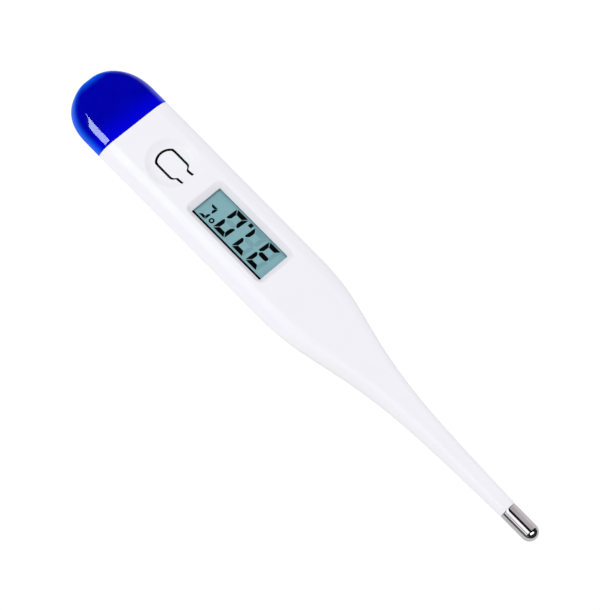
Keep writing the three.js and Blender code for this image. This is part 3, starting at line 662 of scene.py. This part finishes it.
# The camera looks down on the display face from the tip's side and from -Y, with the
# thermometer lying across the picture from upper left to lower right.
LEAN = radians(11.5312)
TILT = radians(20.0)
ROLL = radians(45.3412)
AIM = Vector((-MIDDLE_X, 0, THICK))
SHIFT_MM = (0.84407, -1.71637)
DISTANCE_MM = 420.0
FOCAL_SIZES = 2202.634 / 610  # focal length over the picture's long side
SENSOR_MM = 36.0


def add_camera():
    """The camera from the world's axes as it sees them: leaned, tilted, then rolled."""
    x = Vector((cos(LEAN), 0, -sin(LEAN)))
    y0 = Vector((0, -1, 0))
    z0 = x.cross(y0)
    y = y0 * cos(TILT) - z0 * sin(TILT)
    z = x.cross(y)
    turn = [[cos(ROLL), -sin(ROLL), 0], [sin(ROLL), cos(ROLL), 0], [0, 0, 1]]
    right, down, forward = (Vector([sum(row[k] * v[k] for k in range(3)) for v in (x, y, z)])
                            for row in turn)
    place = AIM - right * SHIFT_MM[0] - down * SHIFT_MM[1] - forward * DISTANCE_MM
    camera = shown("camera", bpy.data.cameras.new("camera"))
    matrix = camera.matrix_world.copy()
    for k in range(3):
        matrix[k] = (right[k], -down[k], -forward[k], place[k] * MM)
    camera.matrix_world = matrix
    camera.data.sensor_width = SENSOR_MM
    camera.data.lens = FOCAL_SIZES * SENSOR_MM
    camera.data.clip_start = 0.01
    camera.data.clip_end = 20
    bpy.context.scene.camera = camera


add_camera()

# ---- housing ----

CORNER_STEPS = 8
OVER_FACE = 1.0  # how far cutters stand out of the flat face
SLOT_ZONE = Sizes(r=4.75, top_z=9.6)  # where the slot's walls get painted shade


def rounded_rect(length, width, corner, z):
    """A ring of points about the window's middle, equal in number whatever its size."""
    points = []
    for quarter, (sx, sy) in enumerate(((1, 1), (-1, 1), (-1, -1), (1, -1))):
        for i in range(CORNER_STEPS + 1):
            angle = (quarter + i / CORNER_STEPS) * pi / 2
            points.append((WINDOW.x + sx * (length / 2 - corner) + corner * cos(angle),
                           sy * (width / 2 - corner) + corner * sin(angle), z))
    return points


def window_cutter():
    """The display recess: a sloping wall with a soft rim, growing from the sill to the face."""
    spread = (WINDOW_RIM.length - WINDOW.length) / 2
    across = (WINDOW_RIM.width - WINDOW.width) / 2
    rise = THICK - WINDOW.sill_z
    near = 1 - WINDOW_RIM.soft / hypot(spread, rise)
    levels = [(0.0, WINDOW.sill_z - WINDOW.sill_thick)]
    levels += [(t, WINDOW.sill_z + rise * t) for t in (0.0, 0.25, 0.5, 0.75)]
    levels += bezier2((near, WINDOW.sill_z + rise * near), (1.0, THICK),
                      (1 + WINDOW_RIM.soft / spread, THICK + 0.004), 6)
    rings = []
    for t, z in [*levels, (levels[-1][0], THICK + OVER_FACE)]:
        corner = mix(WINDOW.corner, WINDOW_RIM.corner, clamp(t, 0, 1.2))
        rings.append(rounded_rect(WINDOW.length + 2 * spread * t,
                                  WINDOW.width + 2 * across * t, corner, z))
    return loft(rings)


def dish_cutter():
    """The round finger dish: a barely hollow floor, a curved wall and a soft rim."""
    floor = THICK - DISH.depth
    profile = [(r, floor + DISH.hollow * (r / DISH.flat_r) ** 2) for r in (0, 0.9, 1.8, 2.7)]
    wall = [(DISH.flat_r, floor + DISH.hollow), (DISH.foot_r, floor + 0.1),
            (DISH.lip_r, THICK - 0.25), (DISH.rim_r, THICK + 0.003)]
    profile += [cubic(wall, i / 16) for i in range(17)]
    profile += [(DISH.rim_r, THICK + OVER_FACE), (0, THICK + OVER_FACE)]
    return turned(profile, 128, at=(DISH.x, 0, 0))


def tongue_outline(offset):
    """The press tongue's outline, grown or shrunk from the middle of its slot."""
    half, neck, end_r = TONGUE.half + offset, TONGUE.neck_half + offset, TONGUE.end_r + offset
    neck_x, shoulder_x = TONGUE.neck_x, TONGUE.shoulder_x
    centre_x = TONGUE.far_x + TONGUE.end_r
    corner_x = centre_x - sqrt(end_r ** 2 - half ** 2)
    spread = asin(half / end_r) - 0.3 / end_r

    def flank(share):
        return mix(neck_x, shoulder_x, share), mix(neck, half, share)

    def round_end(angle):
        return centre_x - end_r * cos(angle), end_r * sin(angle)

    side = [(TONGUE.hinge_x, neck), (neck_x + 0.25, neck)]
    side += bezier2((neck_x + 0.1, neck), (neck_x - 0.05, neck), flank(0.35), 4)
    side += bezier2(flank(0.6), (shoulder_x - 0.05, half), (shoulder_x - 0.5, half), 5)
    side += bezier2((corner_x + 0.85, half), (corner_x - 0.02, half), round_end(spread), 8)
    end = [round_end(mix(spread, -spread, i / 12)) for i in range(1, 12)]
    return side + end + [(x, -y) for x, y in reversed(side)]


def make_housing():
    places = stations()
    insets = {0: 0.09, 1: 0.035}  # a small radius round the mouth
    rings = [bowed(section(x, outer_form(x, w), insets.get(i, 0.0)), x)
             for i, (x, w) in enumerate(places)]
    last_x, last_w = places[-1]
    rings[-1:] = [section(last_x - back, outer_form(last_x, last_w), inset)
                  for back, inset in ((0.08, 0.0), (0.02, 0.03), (0.0, 0.09))]
    shell = loft(rings, fan=True)
    mouth = section(SEAM_X - 1, cavity_form(*places[0]))
    inside = [section(x, cavity_form(x, w)) for x, w in places[::3] if x <= SHAFT.start_x]
    cutters = [
        loft([mouth, *inside]),
        window_cutter(),
        dish_cutter(),
        prism(tongue_outline(TONGUE.slot / 2), TONGUE.under_z - 0.5, THICK + OVER_FACE),
        on_axis(rod(LEAD_BORE.r, LEAD_BORE.start_x, LEAD_BORE.end_x), 32),
        on_axis(rod(TIP.neck_r + TIP.play, TIP.neck_x - 0.3, SHAFT.end_x + 1.3), 48),
    ]
    for cutter in cutters:
        shell = combine(shell, cutter)
    for side in (-1, 1):
        rail = block(RAIL.x, sorted(side * y for y in RAIL.y), RAIL.z, 0)
        shell = combine(shell, rail, "UNION")
    return shell


def make_tongue():
    blank = prism(tongue_outline(-TONGUE.slot / 2), TONGUE.under_z, THICK)
    blank = combine(blank, dish_cutter())
    groove = turned(rod(GROOVE.r, -GROOVE.half, GROOVE.half), 32)
    for v in groove.verts:
        v.co = Vector((v.co.x + TONGUE.hinge_x - GROOVE.back, v.co.z, v.co.y + TONGUE.under_z))
    return combine(blank, groove)


def shade_slot(piece):
    """Paints shade on the steep walls of the narrow slot: they get their own near-black finish."""
    piece.data.materials.append(SLOT_PAINTED_SHADE)
    for face in piece.data.polygons:
        x, y, z = face.center / MM
        away = hypot(x + MIDDLE_X - DISH.x, y)
        if abs(face.normal.z) < 0.3 and away < SLOT_ZONE.r and z < SLOT_ZONE.top_z:
            face.material_index = 1


shade_slot(finished("thermometer_housing", make_housing(), HOUSING, "body",
                    "housing"))
shade_slot(finished("press_tongue", make_tongue(), HOUSING, "button",
                    "power_button"))
finished("window_plate", block(around(WINDOW.x, LENS.length / 2), around(0, LENS.width / 2),
                               (LENS.low, LENS.high), 0.08),
         CLEAR, "body", "display_window")

# ---- probe tip and what is inside it ----


def make_tip():
    r, neck_r, neck_x = TIP.r, TIP.neck_r, TIP.neck_x
    centre = TIP_END_X - r
    seam = SHAFT.end_x + 0.05
    barrel = seam + 0.1
    profile = [(0, neck_x), (TIP.neck_inner_r, neck_x), (neck_r, neck_x), (neck_r, seam),
               (r - 0.08, seam), (r - 0.02, seam + 0.03), (r, barrel)]
    profile += [(r, mix(barrel, centre, t)) for t in (0.25, 0.5, 0.75)]
    outer = on_axis([*profile, *arc(r, centre, 0, 1, 24)], 96)
    tube_end = SHAFT.end_x + 0.3
    hollow = on_axis([*arc(TIP.inner_r, centre, 1, 0, 16), (TIP.inner_r, tube_end),
                      (TIP.neck_inner_r, tube_end), (TIP.neck_inner_r, neck_x - 1),
                      (0, neck_x - 1)], 48)
    return combine(outer, hollow)


def make_potting():
    """The plug that fills the probe behind the bead, with a bore for each lead."""
    top = BEAD.x - 0.75
    r1, r2 = TIP.neck_inner_r - 0.05, TIP.inner_r - 0.05
    x1, x2 = TIP.neck_x + 0.3, SHAFT.end_x + 0.35
    plug = on_axis([(0, x1 + 0.12), (r1 * 0.6, x1 + 0.08), (r1, x1), (r1, x2), (r2, x2),
                    (r2, top), (r2 * 0.6, top - 0.06), (0, top - 0.08)], 48)
    for side in (-1, 1):
        plug = combine(plug, on_axis(rod(WIRE.bore_r, 50, 62), 16, y=side * WIRE.spread))
    return plug


def make_lead(side):
    """One lead's whole route, from the bead down the shaft and over to its joint on the board."""
    near, axis_z, pad_z = WIRE.spread, SHAFT.axis_z, BOARD.top_z + 0.27
    route = [(BEAD.x - 0.65, near, axis_z), (50, near, axis_z), (SHAFT.start_x, near, axis_z),
             (24, 0.9, axis_z - 0.2), (8, 1.6, axis_z - 0.1), (-2, WIRE.pad_y, pad_z + 0.03),
             (BOARD.end_x + 0.15, WIRE.pad_y, pad_z)]
    return tube(spline([(x, side * y, z) for x, y, z in route], 14), WIRE.r)


finished("probe_cap_steel", make_tip(), CHROME, "body", "probe_tip")
finished("potting_plug", make_potting(), POTTING, "body", "tip_potting")
finished("sensor_bead", on_axis(arc(BEAD.r, 0, -1, 1, 20), 40, x=BEAD.x), BEAD_GREEN, "body",
         "thermistor_bead")
for lead_side, word, lead_finish, lead_slot in ((1, "left", RED_LEAD, "wire_red"),
                                                (-1, "right", BLUE_LEAD, "wire_blue")):
    lead = finished(f"lead_{word}", make_lead(lead_side), lead_finish, None)
    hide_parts(f"lead_wire_{word}")
    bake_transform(lead)

# ---- battery cap ----

# painted light on the cap: lighter near its outline and below its face, for light through the thin
# blue plastic and the lit lower side, and lighter next to the seam
CAP_PAINTED_LIGHT = Sizes(rim_band=0.14, low_side=(2.0, 3.4), low_light=0.8, seam_reach=5.5, seam_light=0.7)


def cap_rings(inset, end_x, count):
    """Sections of the rounded end, from its far end to end_x, close together at the far end."""
    reach = SEAM_X - CAP_END_X - inset
    rings = []
    for i in range(count, 0, -1):
        x = SEAM_X - reach * sin(i / count * pi / 2) * 0.99985
        if x < end_x:
            rings.append(bowed(section(x, cap_form(x, inset)), x))
    return rings


def make_cap():
    edge = SEAM_X - SEAM_GAP
    start = cap_form(SEAM_X)
    lip = [bowed(section(edge - back, start, inset), SEAM_X)
           for back, inset in ((0.12, 0.0), (0.03, 0.035), (0.0, 0.1))]
    dome = loft([*cap_rings(0.0, edge - 0.3, 64), *lip], fan=True)
    skirt_out = mouth_form(CAP.skirt_gap)
    skirt_in = mouth_form(CAP.skirt_gap + CAP.skirt_wall)
    plug = loft([section(SEAM_X - 1, skirt_out), section(CAP.skirt_end_x - 0.2, skirt_out),
                 section(CAP.skirt_end_x, skirt_out, 0.15)])
    hollow = loft([*cap_rings(CAP.wall, SEAM_X - 2.2, 24),
                   section(SEAM_X - 1.6, cap_form(SEAM_X - 1.6, CAP.wall)),
                   section(SEAM_X - 0.8, skirt_in), section(CAP.skirt_end_x + 1, skirt_in)])
    low = CAVITY.widest_z - CAP.notch_drop
    wide = around(0, CAP.notch_half)
    notch = block((SEAM_X + 0.2, CAP.skirt_end_x + 1), wide, (low, CAVITY.ceiling + 1), 0)
    crown = block((SEAM_X - 1.3, SEAM_X + 0.3), wide, (low, CAVITY.ceiling), 0)
    made = combine(dome, plug, "UNION")
    for cutter in (hollow, notch, crown):
        made = combine(made, cutter)
    return made


def paint_cap(piece):
    """Painted light: how much lighter the cap is painted at each point, towards its outline, on its
    lower side and towards the seam.
    """
    rim_light, glow = [], []
    for v in piece.data.vertices:
        x, y, z = v.co / MM
        x += MIDDLE_X
        along = nose_share(clamp((SEAM_X - x) / (SEAM_X - CAP_END_X)))
        level = (along ** CAP.nose + (abs(y) / BODY.wide) ** CAP.nose) ** (1 / CAP.nose)
        # painted light: a lighter band along the outline and on the lower side below the face, and
        # more towards the seam
        low_side = smooth(THICK - z, *CAP_PAINTED_LIGHT.low_side)
        rim_light.append(max(smooth(level, 1 - CAP_PAINTED_LIGHT.rim_band, 1.0), CAP_PAINTED_LIGHT.low_light * low_side))
        glow.append(smooth(x, SEAM_X - CAP_PAINTED_LIGHT.seam_reach, SEAM_X) * CAP_PAINTED_LIGHT.seam_light)
    for name, values in (("painted_rim_light", rim_light), ("painted_seam_light", glow)):
        piece.data.attributes.new(name, "FLOAT", "POINT").data.foreach_set("value", values)


paint_cap(finished("pull_off_cap", make_cap(), BLUE, "cap", "battery_cap"))

# ---- display ----

INK_THICK = 0.012
INK_Z = STACK.polariser[1] + 0.004
READ = Sizes(start_x=-8.44, base_y=3.45, slant=0.074)  # starts at the tip's side and faces -Y
DIGIT = Sizes(width=3.22, height=6.14, bar=0.97, stem=0.83)
SMALL = Sizes(width=1.85, height=3.36, bar=0.54, stem=0.54)
LIT = {"3": "abcdg", "7": "abc", "0": "abcdef", "C": "adef"}
# each glyph's name, sign, place along the reading, height over its base line, and size
GLYPHS = (("tens", "3", 1.36, 0.0, DIGIT), ("ones", "7", 5.27, 0.0, DIGIT),
          ("tenths", "0", 10.5, 0.0, DIGIT), ("unit", "C", 16.05, 2.86, SMALL))
POINT = Sizes(along=8.98, width=0.83, height=0.86)
DEGREE = Sizes(along=15.22, up=5.44, r=0.58, hole_r=0.25)


def segment_shapes(size):
    """The seven bars of one digit, as outlines in a cell with its origin at lower left."""
    w, h, bar, stem = size.width, size.height, size.bar, size.stem
    k = stem / DIGIT.stem
    mid = h / 2
    tip, gap = 0.2 * k, 0.05 * k
    top = [(tip, h), (w - tip, h), (w - stem - gap, h - bar), (stem + gap, h - bar)]
    stem_up = [(w - gap, h - 0.12 * k), (w, h - 0.35 * k), (w, mid + 0.42 * k),
               (w - 0.22 * k, mid + 0.24 * k), (w - 0.45 * k, mid + 0.32 * k),
               (w - stem, mid + 0.85 * k), (w - stem, h - bar - 0.06 * k)]
    middle = [(0.42 * k, mid - 0.2 * k), (0.42 * k, mid + 0.2 * k), (0.65 * k, mid + bar / 2),
              (w - 0.85 * k, mid + bar / 2), (w - 0.5 * k, mid), (w - 0.85 * k, mid - bar / 2),
              (0.65 * k, mid - bar / 2)]

    def over(points):
        return [(x, h - y) for x, y in points]

    def across(points):
        return [(w - x, y) for x, y in points]

    return dict(a=top, b=stem_up, c=over(stem_up), d=over(top), e=across(over(stem_up)),
                f=across(stem_up), g=middle)


def on_display(points, along, up=0.0):
    """Outline points of a glyph, leaned over and laid on the display."""
    return [(READ.start_x - (along + u + READ.slant * v), READ.base_y - up - v) for u, v in points]


def ink(name, outline, finish, height=INK_THICK):
    bm = prism(outline, INK_Z, INK_Z + height, 0.003, 1)
    finished(name, bm, finish, "carrier", sharp=20)


def rectangle(x, y):
    """The outline between two pairs of limits."""
    return [(x[0], y[0]), (x[1], y[0]), (x[1], y[1]), (x[0], y[1])]


def draw_display():
    """The reading, with the large digits' unlit bars as faint ghosts, and a dark line along the
    display's long edge on the -Y side.
    """
    for label, sign, along, up, size in GLYPHS:
        for bar, points in segment_shapes(size).items():
            lit = bar in LIT[sign]
            if lit or size is DIGIT:
                ink(f"lcd_{label}_{bar}", on_display(points, along, up),
                    LCD_BLACK if lit else LCD_GHOST, INK_THICK if lit else INK_THICK / 3)
    point = rectangle((0, POINT.width), (0, POINT.height))
    ink("lcd_point", on_display(point, POINT.along), LCD_BLACK)
    ring = [(DEGREE.r, 0.0), (DEGREE.r, INK_THICK), (DEGREE.hole_r, INK_THICK),
            (DEGREE.hole_r, 0.0)]
    centre = (READ.start_x - DEGREE.along, READ.base_y - DEGREE.up, INK_Z)
    finished("lcd_degree", turned(ring, 40, ring=True, at=centre), LCD_BLACK, "carrier")
    # a near-black strip on the display along its long edge on the -Y side
    line = rectangle(around(WINDOW.x, WINDOW.length / 2 + 0.3),
                     (-GLASS.ledge_y - 0.9, -WINDOW.width / 2 + 0.62))
    ink("lcd_dark_line_long", line, LCD_BLACK, INK_THICK / 2)


for word, node, heights, plus_y, layer_finish, slot, trim in (
        ("film_front", "front_polariser", STACK.polariser, GLASS.ledge_y + 0.5, LCD_FACE,
         "lcd_tint", 0.1),
        ("glass_front", "front_glass", STACK.front, GLASS.plus_y, GLASS_CLEAR, "lcd_glass", 0.0),
        ("glass_rear", "rear_glass", STACK.rear, GLASS.ledge_y, GLASS_CLEAR, "lcd_glass", 0.0),
        ("film_rear", "reflector", STACK.reflector, GLASS.ledge_y, REFLECTOR, "lcd_tint", 0.25)):
    layer = block((GLASS.start_x + trim, GLASS.end_x - trim),
                  (GLASS.minus_y + trim, plus_y - trim), heights, 0.03)
    finished(f"lcd_{word}", layer, layer_finish, "carrier", f"lcd_{node}")
finished("contact_strip_rubber",
         block((GLASS.start_x + 1.2, GLASS.end_x - 1.2),
               (GLASS.ledge_y + 0.15, GLASS.plus_y - 0.1), (BOARD.top_z + 0.02, STACK.rear[1]), 0.1),
         ELASTOMER, "carrier", "zebra_connector")
draw_display()

# ---- battery, board parts and switch ----

LIFT = 0.02  # clearance between the board's faces and what sits on them


def make_cells():
    """The button cell: its can, its smaller cup underneath, and the gasket ring between them."""
    r, top = CELL.r, CELL.height
    can = [(0, 0.45), (3.35, 0.45), (3.4, 0.3), (3.55, 0.12), (3.75, 0.12), (3.9, 0.25), (r, 0.5),
           (r, top - 0.3), (r - 0.08, top - 0.1), (r - 0.25, top), (2.9, top), (2.8, top - 0.04),
           (0, top - 0.04)]
    cup = [(0, 0), (2.75, 0), (2.95, 0.05), (3.05, 0.2), (3.1, 0.4), (0, 0.4)]
    seal = [(3.12, 0.2), (3.3, 0.2), (3.3, 0.43), (3.12, 0.43)]
    at = (CELL.x, 0, CELL.base_z)
    finished("button_cell_can", turned(can, 96, at=at), CELL_STEEL, "carrier",
             "battery")
    finished("button_cell_cup", turned(cup, 96, at=at), CELL_STEEL, "carrier")
    finished("button_cell_seal", turned(seal, 96, ring=True, at=at), GASKET, "carrier")


def make_chip(kind, word, x, y, height, finish):
    """A chip part under the board: its body, and a tinned end on either side."""
    top = BOARD.bottom_z - LIFT
    low = top - height
    core = block(around(x, CHIP.core_half), around(y, CHIP.core_wide), (low, top - 0.02), 0.04)
    finished(f"{kind}_{word}", core, finish, "carrier", f"chip_{kind}_{word}")
    for end_word, side in (("a", -1), ("b", 1)):
        limits = sorted((x + side * (CHIP.core_half + 0.02), x + side * CHIP.half))
        finished(f"{kind}_{word}_end_{end_word}",
                 block(limits, around(y, CHIP.wide), (low, top), 0.05), TINNED, "carrier")


def make_dome():
    steps = 14
    top = [(DOME.r * i / steps, DOME.rise * (1 - (i / steps) ** 2)) for i in range(steps + 1)]
    under = [(r * 0.95, max(z - DOME.sheet, 0)) for r, z in top[:-1]]
    return turned([*under, (DOME.r * 0.93, 0), (DOME.r, 0), *reversed(top)],
                  at=(KEY.x, 0, BOARD.top_z + LIFT))


def make_plunger():
    stem, flange, base, ledge, top = KEY.stem_r, KEY.flange_r, KEY.base_z, KEY.flange_z, KEY.top_z
    profile = [(0, base), (flange - 0.08, base), (flange, base + 0.08), (flange, ledge - 0.06),
               (flange - 0.06, ledge), (stem + 0.05, ledge), (stem, ledge + 0.05),
               (stem, top - 0.25)]
    profile += bezier2((stem, top - 0.2), (stem, top), (stem - 0.25, top), 4)
    return turned([*profile, (0, top)], at=(KEY.x, 0, 0))


def make_glob():
    angles = [pi / 2 * i / 12 for i in range(1, 12)]
    profile = [(GLOB.r * sin(a) ** 0.9, -GLOB.drop * cos(a)) for a in angles]
    return turned([(0, -GLOB.drop), *profile, (GLOB.r, 0), (0, 0)],
                  at=(GLOB.x, 0, BOARD.bottom_z - LIFT))


def make_spring(x, base_z):
    """A coil between its seat and the board, one wire's radius and a little clearance from both."""
    wire, turn = SPRING.wire_r, 2 * pi * SPRING.turns
    low, top = base_z + wire + 0.065, BOARD.bottom_z - wire - 0.065
    steps = SPRING.turns * 20
    path = [Vector((x + SPRING.coil_r * cos(turn * i / steps),
                    SPRING.coil_r * sin(turn * i / steps), mix(low, top, i / steps)))
            for i in range(steps + 1)]
    return tube(path, wire, 10)


def make_disc(r, heights, edge):
    low, high = heights
    profile = [(0, low), (r - edge, low), (r, low + edge), (r, high - edge), (r - edge, high),
               (0, high)]
    return turned(profile, 96, at=(BUZZER.x, 0, 0))


make_cells()
finished("glob_top", make_glob(), POTTING, "carrier", "chip_glob_top")
for chip_side, word in ((1, "left"), (-1, "right")):
    chip_y = chip_side * CHIP.row_y
    make_chip("capacitor", word, CHIP.capacitor_x, chip_y, 0.75, TAN)
    make_chip("resistor", word, CHIP.resistor_x, chip_y, 0.45, POTTING)
    joint = turned([(0, 0), (0.75, 0), (0.72, 0.12), (0.62, 0.3), (0.48, 0.46), (0.3, 0.58),
                    (0.14, 0.64), (0, 0.65)], 40,
                   at=(BOARD.end_x - 0.9, chip_side * WIRE.pad_y, BOARD.top_z + LIFT))
    finished(f"solder_{word}", joint, SOLDER, "carrier", f"solder_joint_{word}")
dome = finished("snap_dome", make_dome(), PLATING, "carrier", "switch_dome")
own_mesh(dome)
finished("plunger_stem", make_plunger(), PLUNGER_GREY, "plunger", "switch_plunger")
finished("sounder_disc", make_disc(BUZZER.disc_r, BUZZER.disc_z, 0.03), BRASS, "carrier",
         "buzzer_disc")
finished("sounder_ceramic", make_disc(BUZZER.ceramic_r, BUZZER.ceramic_z, 0.02), SILVERED,
         "carrier", "buzzer_ceramic")
for word, offset, seat_z in (("inner", 0.0, BUZZER.ceramic_z[1]),
                             ("outer", -SPRING.apart, BUZZER.disc_z[1])):
    finished(f"sounder_spring_{word}", make_spring(BUZZER.x + offset, seat_z), PLATING, "carrier",
             f"buzzer_spring_{word}")

# ---- CAD nodes that stay, with softened edges ----

# the lcd_holder takes the near-black plunger finish partly as painted shade: it darkens what shows
# down through the tongue's slot
for node, kept_finish, width in (("battery_carrier", TRAY_WHITE, 0.08),
                                 ("lcd_holder", PLUNGER_GREY, 0.08),
                                 ("circuit_board", BOARD_GREEN, 0.04),
                                 ("battery_contact_negative", PLATING, 0.025),
                                 ("battery_contact_positive", PLATING, 0.025)):
    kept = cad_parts[node]
    for socket in kept.material_slots:
        socket.material = kept_finish
    weld = kept.modifiers.new("weld", "WELD")
    weld.merge_threshold = 1e-7
    bevel = kept.modifiers.new("soft_edges", "BEVEL")
    bevel.width = width * MM
    bevel.segments = 2
    bevel.limit_method = "ANGLE"
    bevel.angle_limit = radians(50)

# ---- stage: lit floor, studio, key light and what the probe mirrors (metres) ----

FLOOR_HALF = 2.0
FLOOR_GLOW = (1.03, 0.62, 1.03)  # for soft light, for gloss and for the camera
SOFT_LIGHT = 0.895
WHITE = (1.0, 1.0, 1.0)
MAUVE = (1.0, 0.92, 0.96)
HORIZON = {"From Min": 0.10, "From Max": 0.34, "To Min": 0.25, "To Max": 0.012}
KEY_LIGHT = Sizes(place=Vector((-0.25, -0.20, 0.56)), aim=Vector((0.03, 0, 0.008)),
                  size=(0.24, 0.09), power=0.82, colour=(0.82, 0.96, 1.0))
PROBE_MIDDLE = Vector((0.059, 0, SHAFT.axis_z * MM))
CARD = Sizes(distance=0.11, length=0.075, back=0.018)
DOT = Sizes(towards=(0.8, -0.1, 0.6), size=0.095, glow=2.4)
# each card's name, the directions it spans in degrees, its glow and its colour
TIP_CARDS = (("card_grey_high", (9, 50), 0.5, MAUVE), ("card_grey_side", (50, 88), 0.56, MAUVE),
             ("card_white_high", (-52, -20), 1.2, WHITE), ("card_white_low", (-74, -58), 0.9, WHITE))
# each flag's name, its two ends, and its lower and upper edge
FLAGS = (("flag_beside", (0.035, -0.03), (0.085, -0.03), (0.0006, 0.0085)),
         ("flag_beyond", (0.088, -0.04), (0.088, 0.05), (0.0006, 0.03)))


def add_glow(owner, out_kind, colour, strengths):
    """Makes a material or world glow, with its own strength for soft light, gloss and camera."""
    tree = owner.node_tree
    rays = tree.nodes.new("ShaderNodeLightPath")
    shader = None
    for ray, strength in zip((None, "Is Glossy Ray", "Is Camera Ray"), strengths):
        glow = tree.nodes.new("ShaderNodeEmission")
        glow.inputs["Color"].default_value = (*colour, 1.0)
        feed(tree, glow.inputs["Strength"], strength)
        if ray:
            mixed = tree.nodes.new("ShaderNodeMixShader")
            for key, source in enumerate((rays.outputs[ray], shader, glow.outputs[0])):
                tree.links.new(source, mixed.inputs[key])
            shader = mixed.outputs[0]
        else:
            shader = glow.outputs[0]
    tree.links.new(shader, tree.nodes.new(out_kind).inputs[0])


def add_sheet(name, corners, colour, strengths):
    """A flat glowing piece of the stage."""
    bm = bmesh.new()
    bm.faces.new([bm.verts.new(p) for p in corners])
    sheet = as_object(name, bm)
    material = bpy.data.materials.new(name + "_glow")
    material.use_nodes = True
    material.node_tree.nodes.clear()
    add_glow(material, "ShaderNodeOutputMaterial", colour, strengths)
    sheet.data.materials.append(material)
    return sheet


def add_floor():
    half = FLOOR_HALF
    corners = ((-half, -half, 0), (half, -half, 0), (half, half, 0), (-half, half, 0))
    floor = add_sheet("floor", corners, WHITE, FLOOR_GLOW)
    floor.location.z = -0.00002


def add_world():
    """White surround for the camera and soft light; gloss sees it dark except at the horizon."""
    world = bpy.data.worlds.new("studio")
    bpy.context.scene.world = world
    world.use_nodes = True
    tree = world.node_tree
    tree.nodes.clear()
    place = tree.nodes.new("ShaderNodeTexCoord")
    split = tree.nodes.new("ShaderNodeSeparateXYZ")
    fall = tree.nodes.new("ShaderNodeMapRange")
    for key, value in HORIZON.items():
        fall.inputs[key].default_value = value
    tree.links.new(place.outputs["Generated"], split.inputs[0])
    tree.links.new(split.outputs["Z"], fall.inputs["Value"])
    add_glow(world, "ShaderNodeOutputWorld", (1.0, 0.98, 0.998),
             (SOFT_LIGHT, fall.outputs["Result"], 1.06))


def add_area(name, towards, distance, size, power, aim, colour=WHITE, gloss_only=True):
    """A soft box that faces a point from a direction."""
    light = bpy.data.lights.new(name, "AREA")
    light.shape = "RECTANGLE"
    light.size, light.size_y = size
    light.energy = power
    light.color = colour
    lamp = shown(name, light)
    direction = Vector(towards).normalized()
    lamp.location = Vector(aim) + direction * distance
    lamp.rotation_mode = "QUATERNION"
    lamp.rotation_quaternion = direction.to_track_quat("Z", "Y")
    lamp.visible_diffuse = not gloss_only
    return lamp


def add_tip_cards():
    """Cards close to the probe that only gloss sees: each spans a range of directions in the
    probe's own cross-plane, from straight up and towards +Y, and glows evenly."""
    add_area("card_dot", DOT.towards, CARD.distance, (DOT.size, DOT.size),
             DOT.glow * pi * DOT.size ** 2, PROBE_MIDDLE)
    for name, (start, stop), glow, colour in TIP_CARDS:
        middle, half = radians((start + stop) / 2), radians((stop - start) / 2)
        wide = 2 * CARD.distance * tan(half)
        card = add_area(name, (0, sin(middle), cos(middle)), CARD.distance,
                        (CARD.length, wide), glow * pi * wide * CARD.length, PROBE_MIDDLE,
                        colour)
        card.location.x -= CARD.back
        card.rotation_mode = "XYZ"
        card.rotation_euler = (-middle, 0, 0)


def add_flags():
    """Low dark strips beside and beyond the probe, seen only by gloss: they darken its horizon."""
    for name, start, stop, (low, high) in FLAGS:
        corners = ((*start, low), (*stop, low), (*stop, high), (*start, high))
        flag = add_sheet(name, corners, (1.0, 0.9, 1.0), (0.02, 0.02, 0.02))
        flag.visible_camera = False
        flag.visible_diffuse = False
        flag.visible_shadow = False


add_floor()
add_world()
key_way = KEY_LIGHT.place - KEY_LIGHT.aim
add_area("key", key_way, key_way.length, KEY_LIGHT.size, KEY_LIGHT.power, KEY_LIGHT.aim,
         KEY_LIGHT.colour, gloss_only=False)
add_tip_cards()
add_flags()
bpy.context.scene.view_settings.view_transform = "Standard"
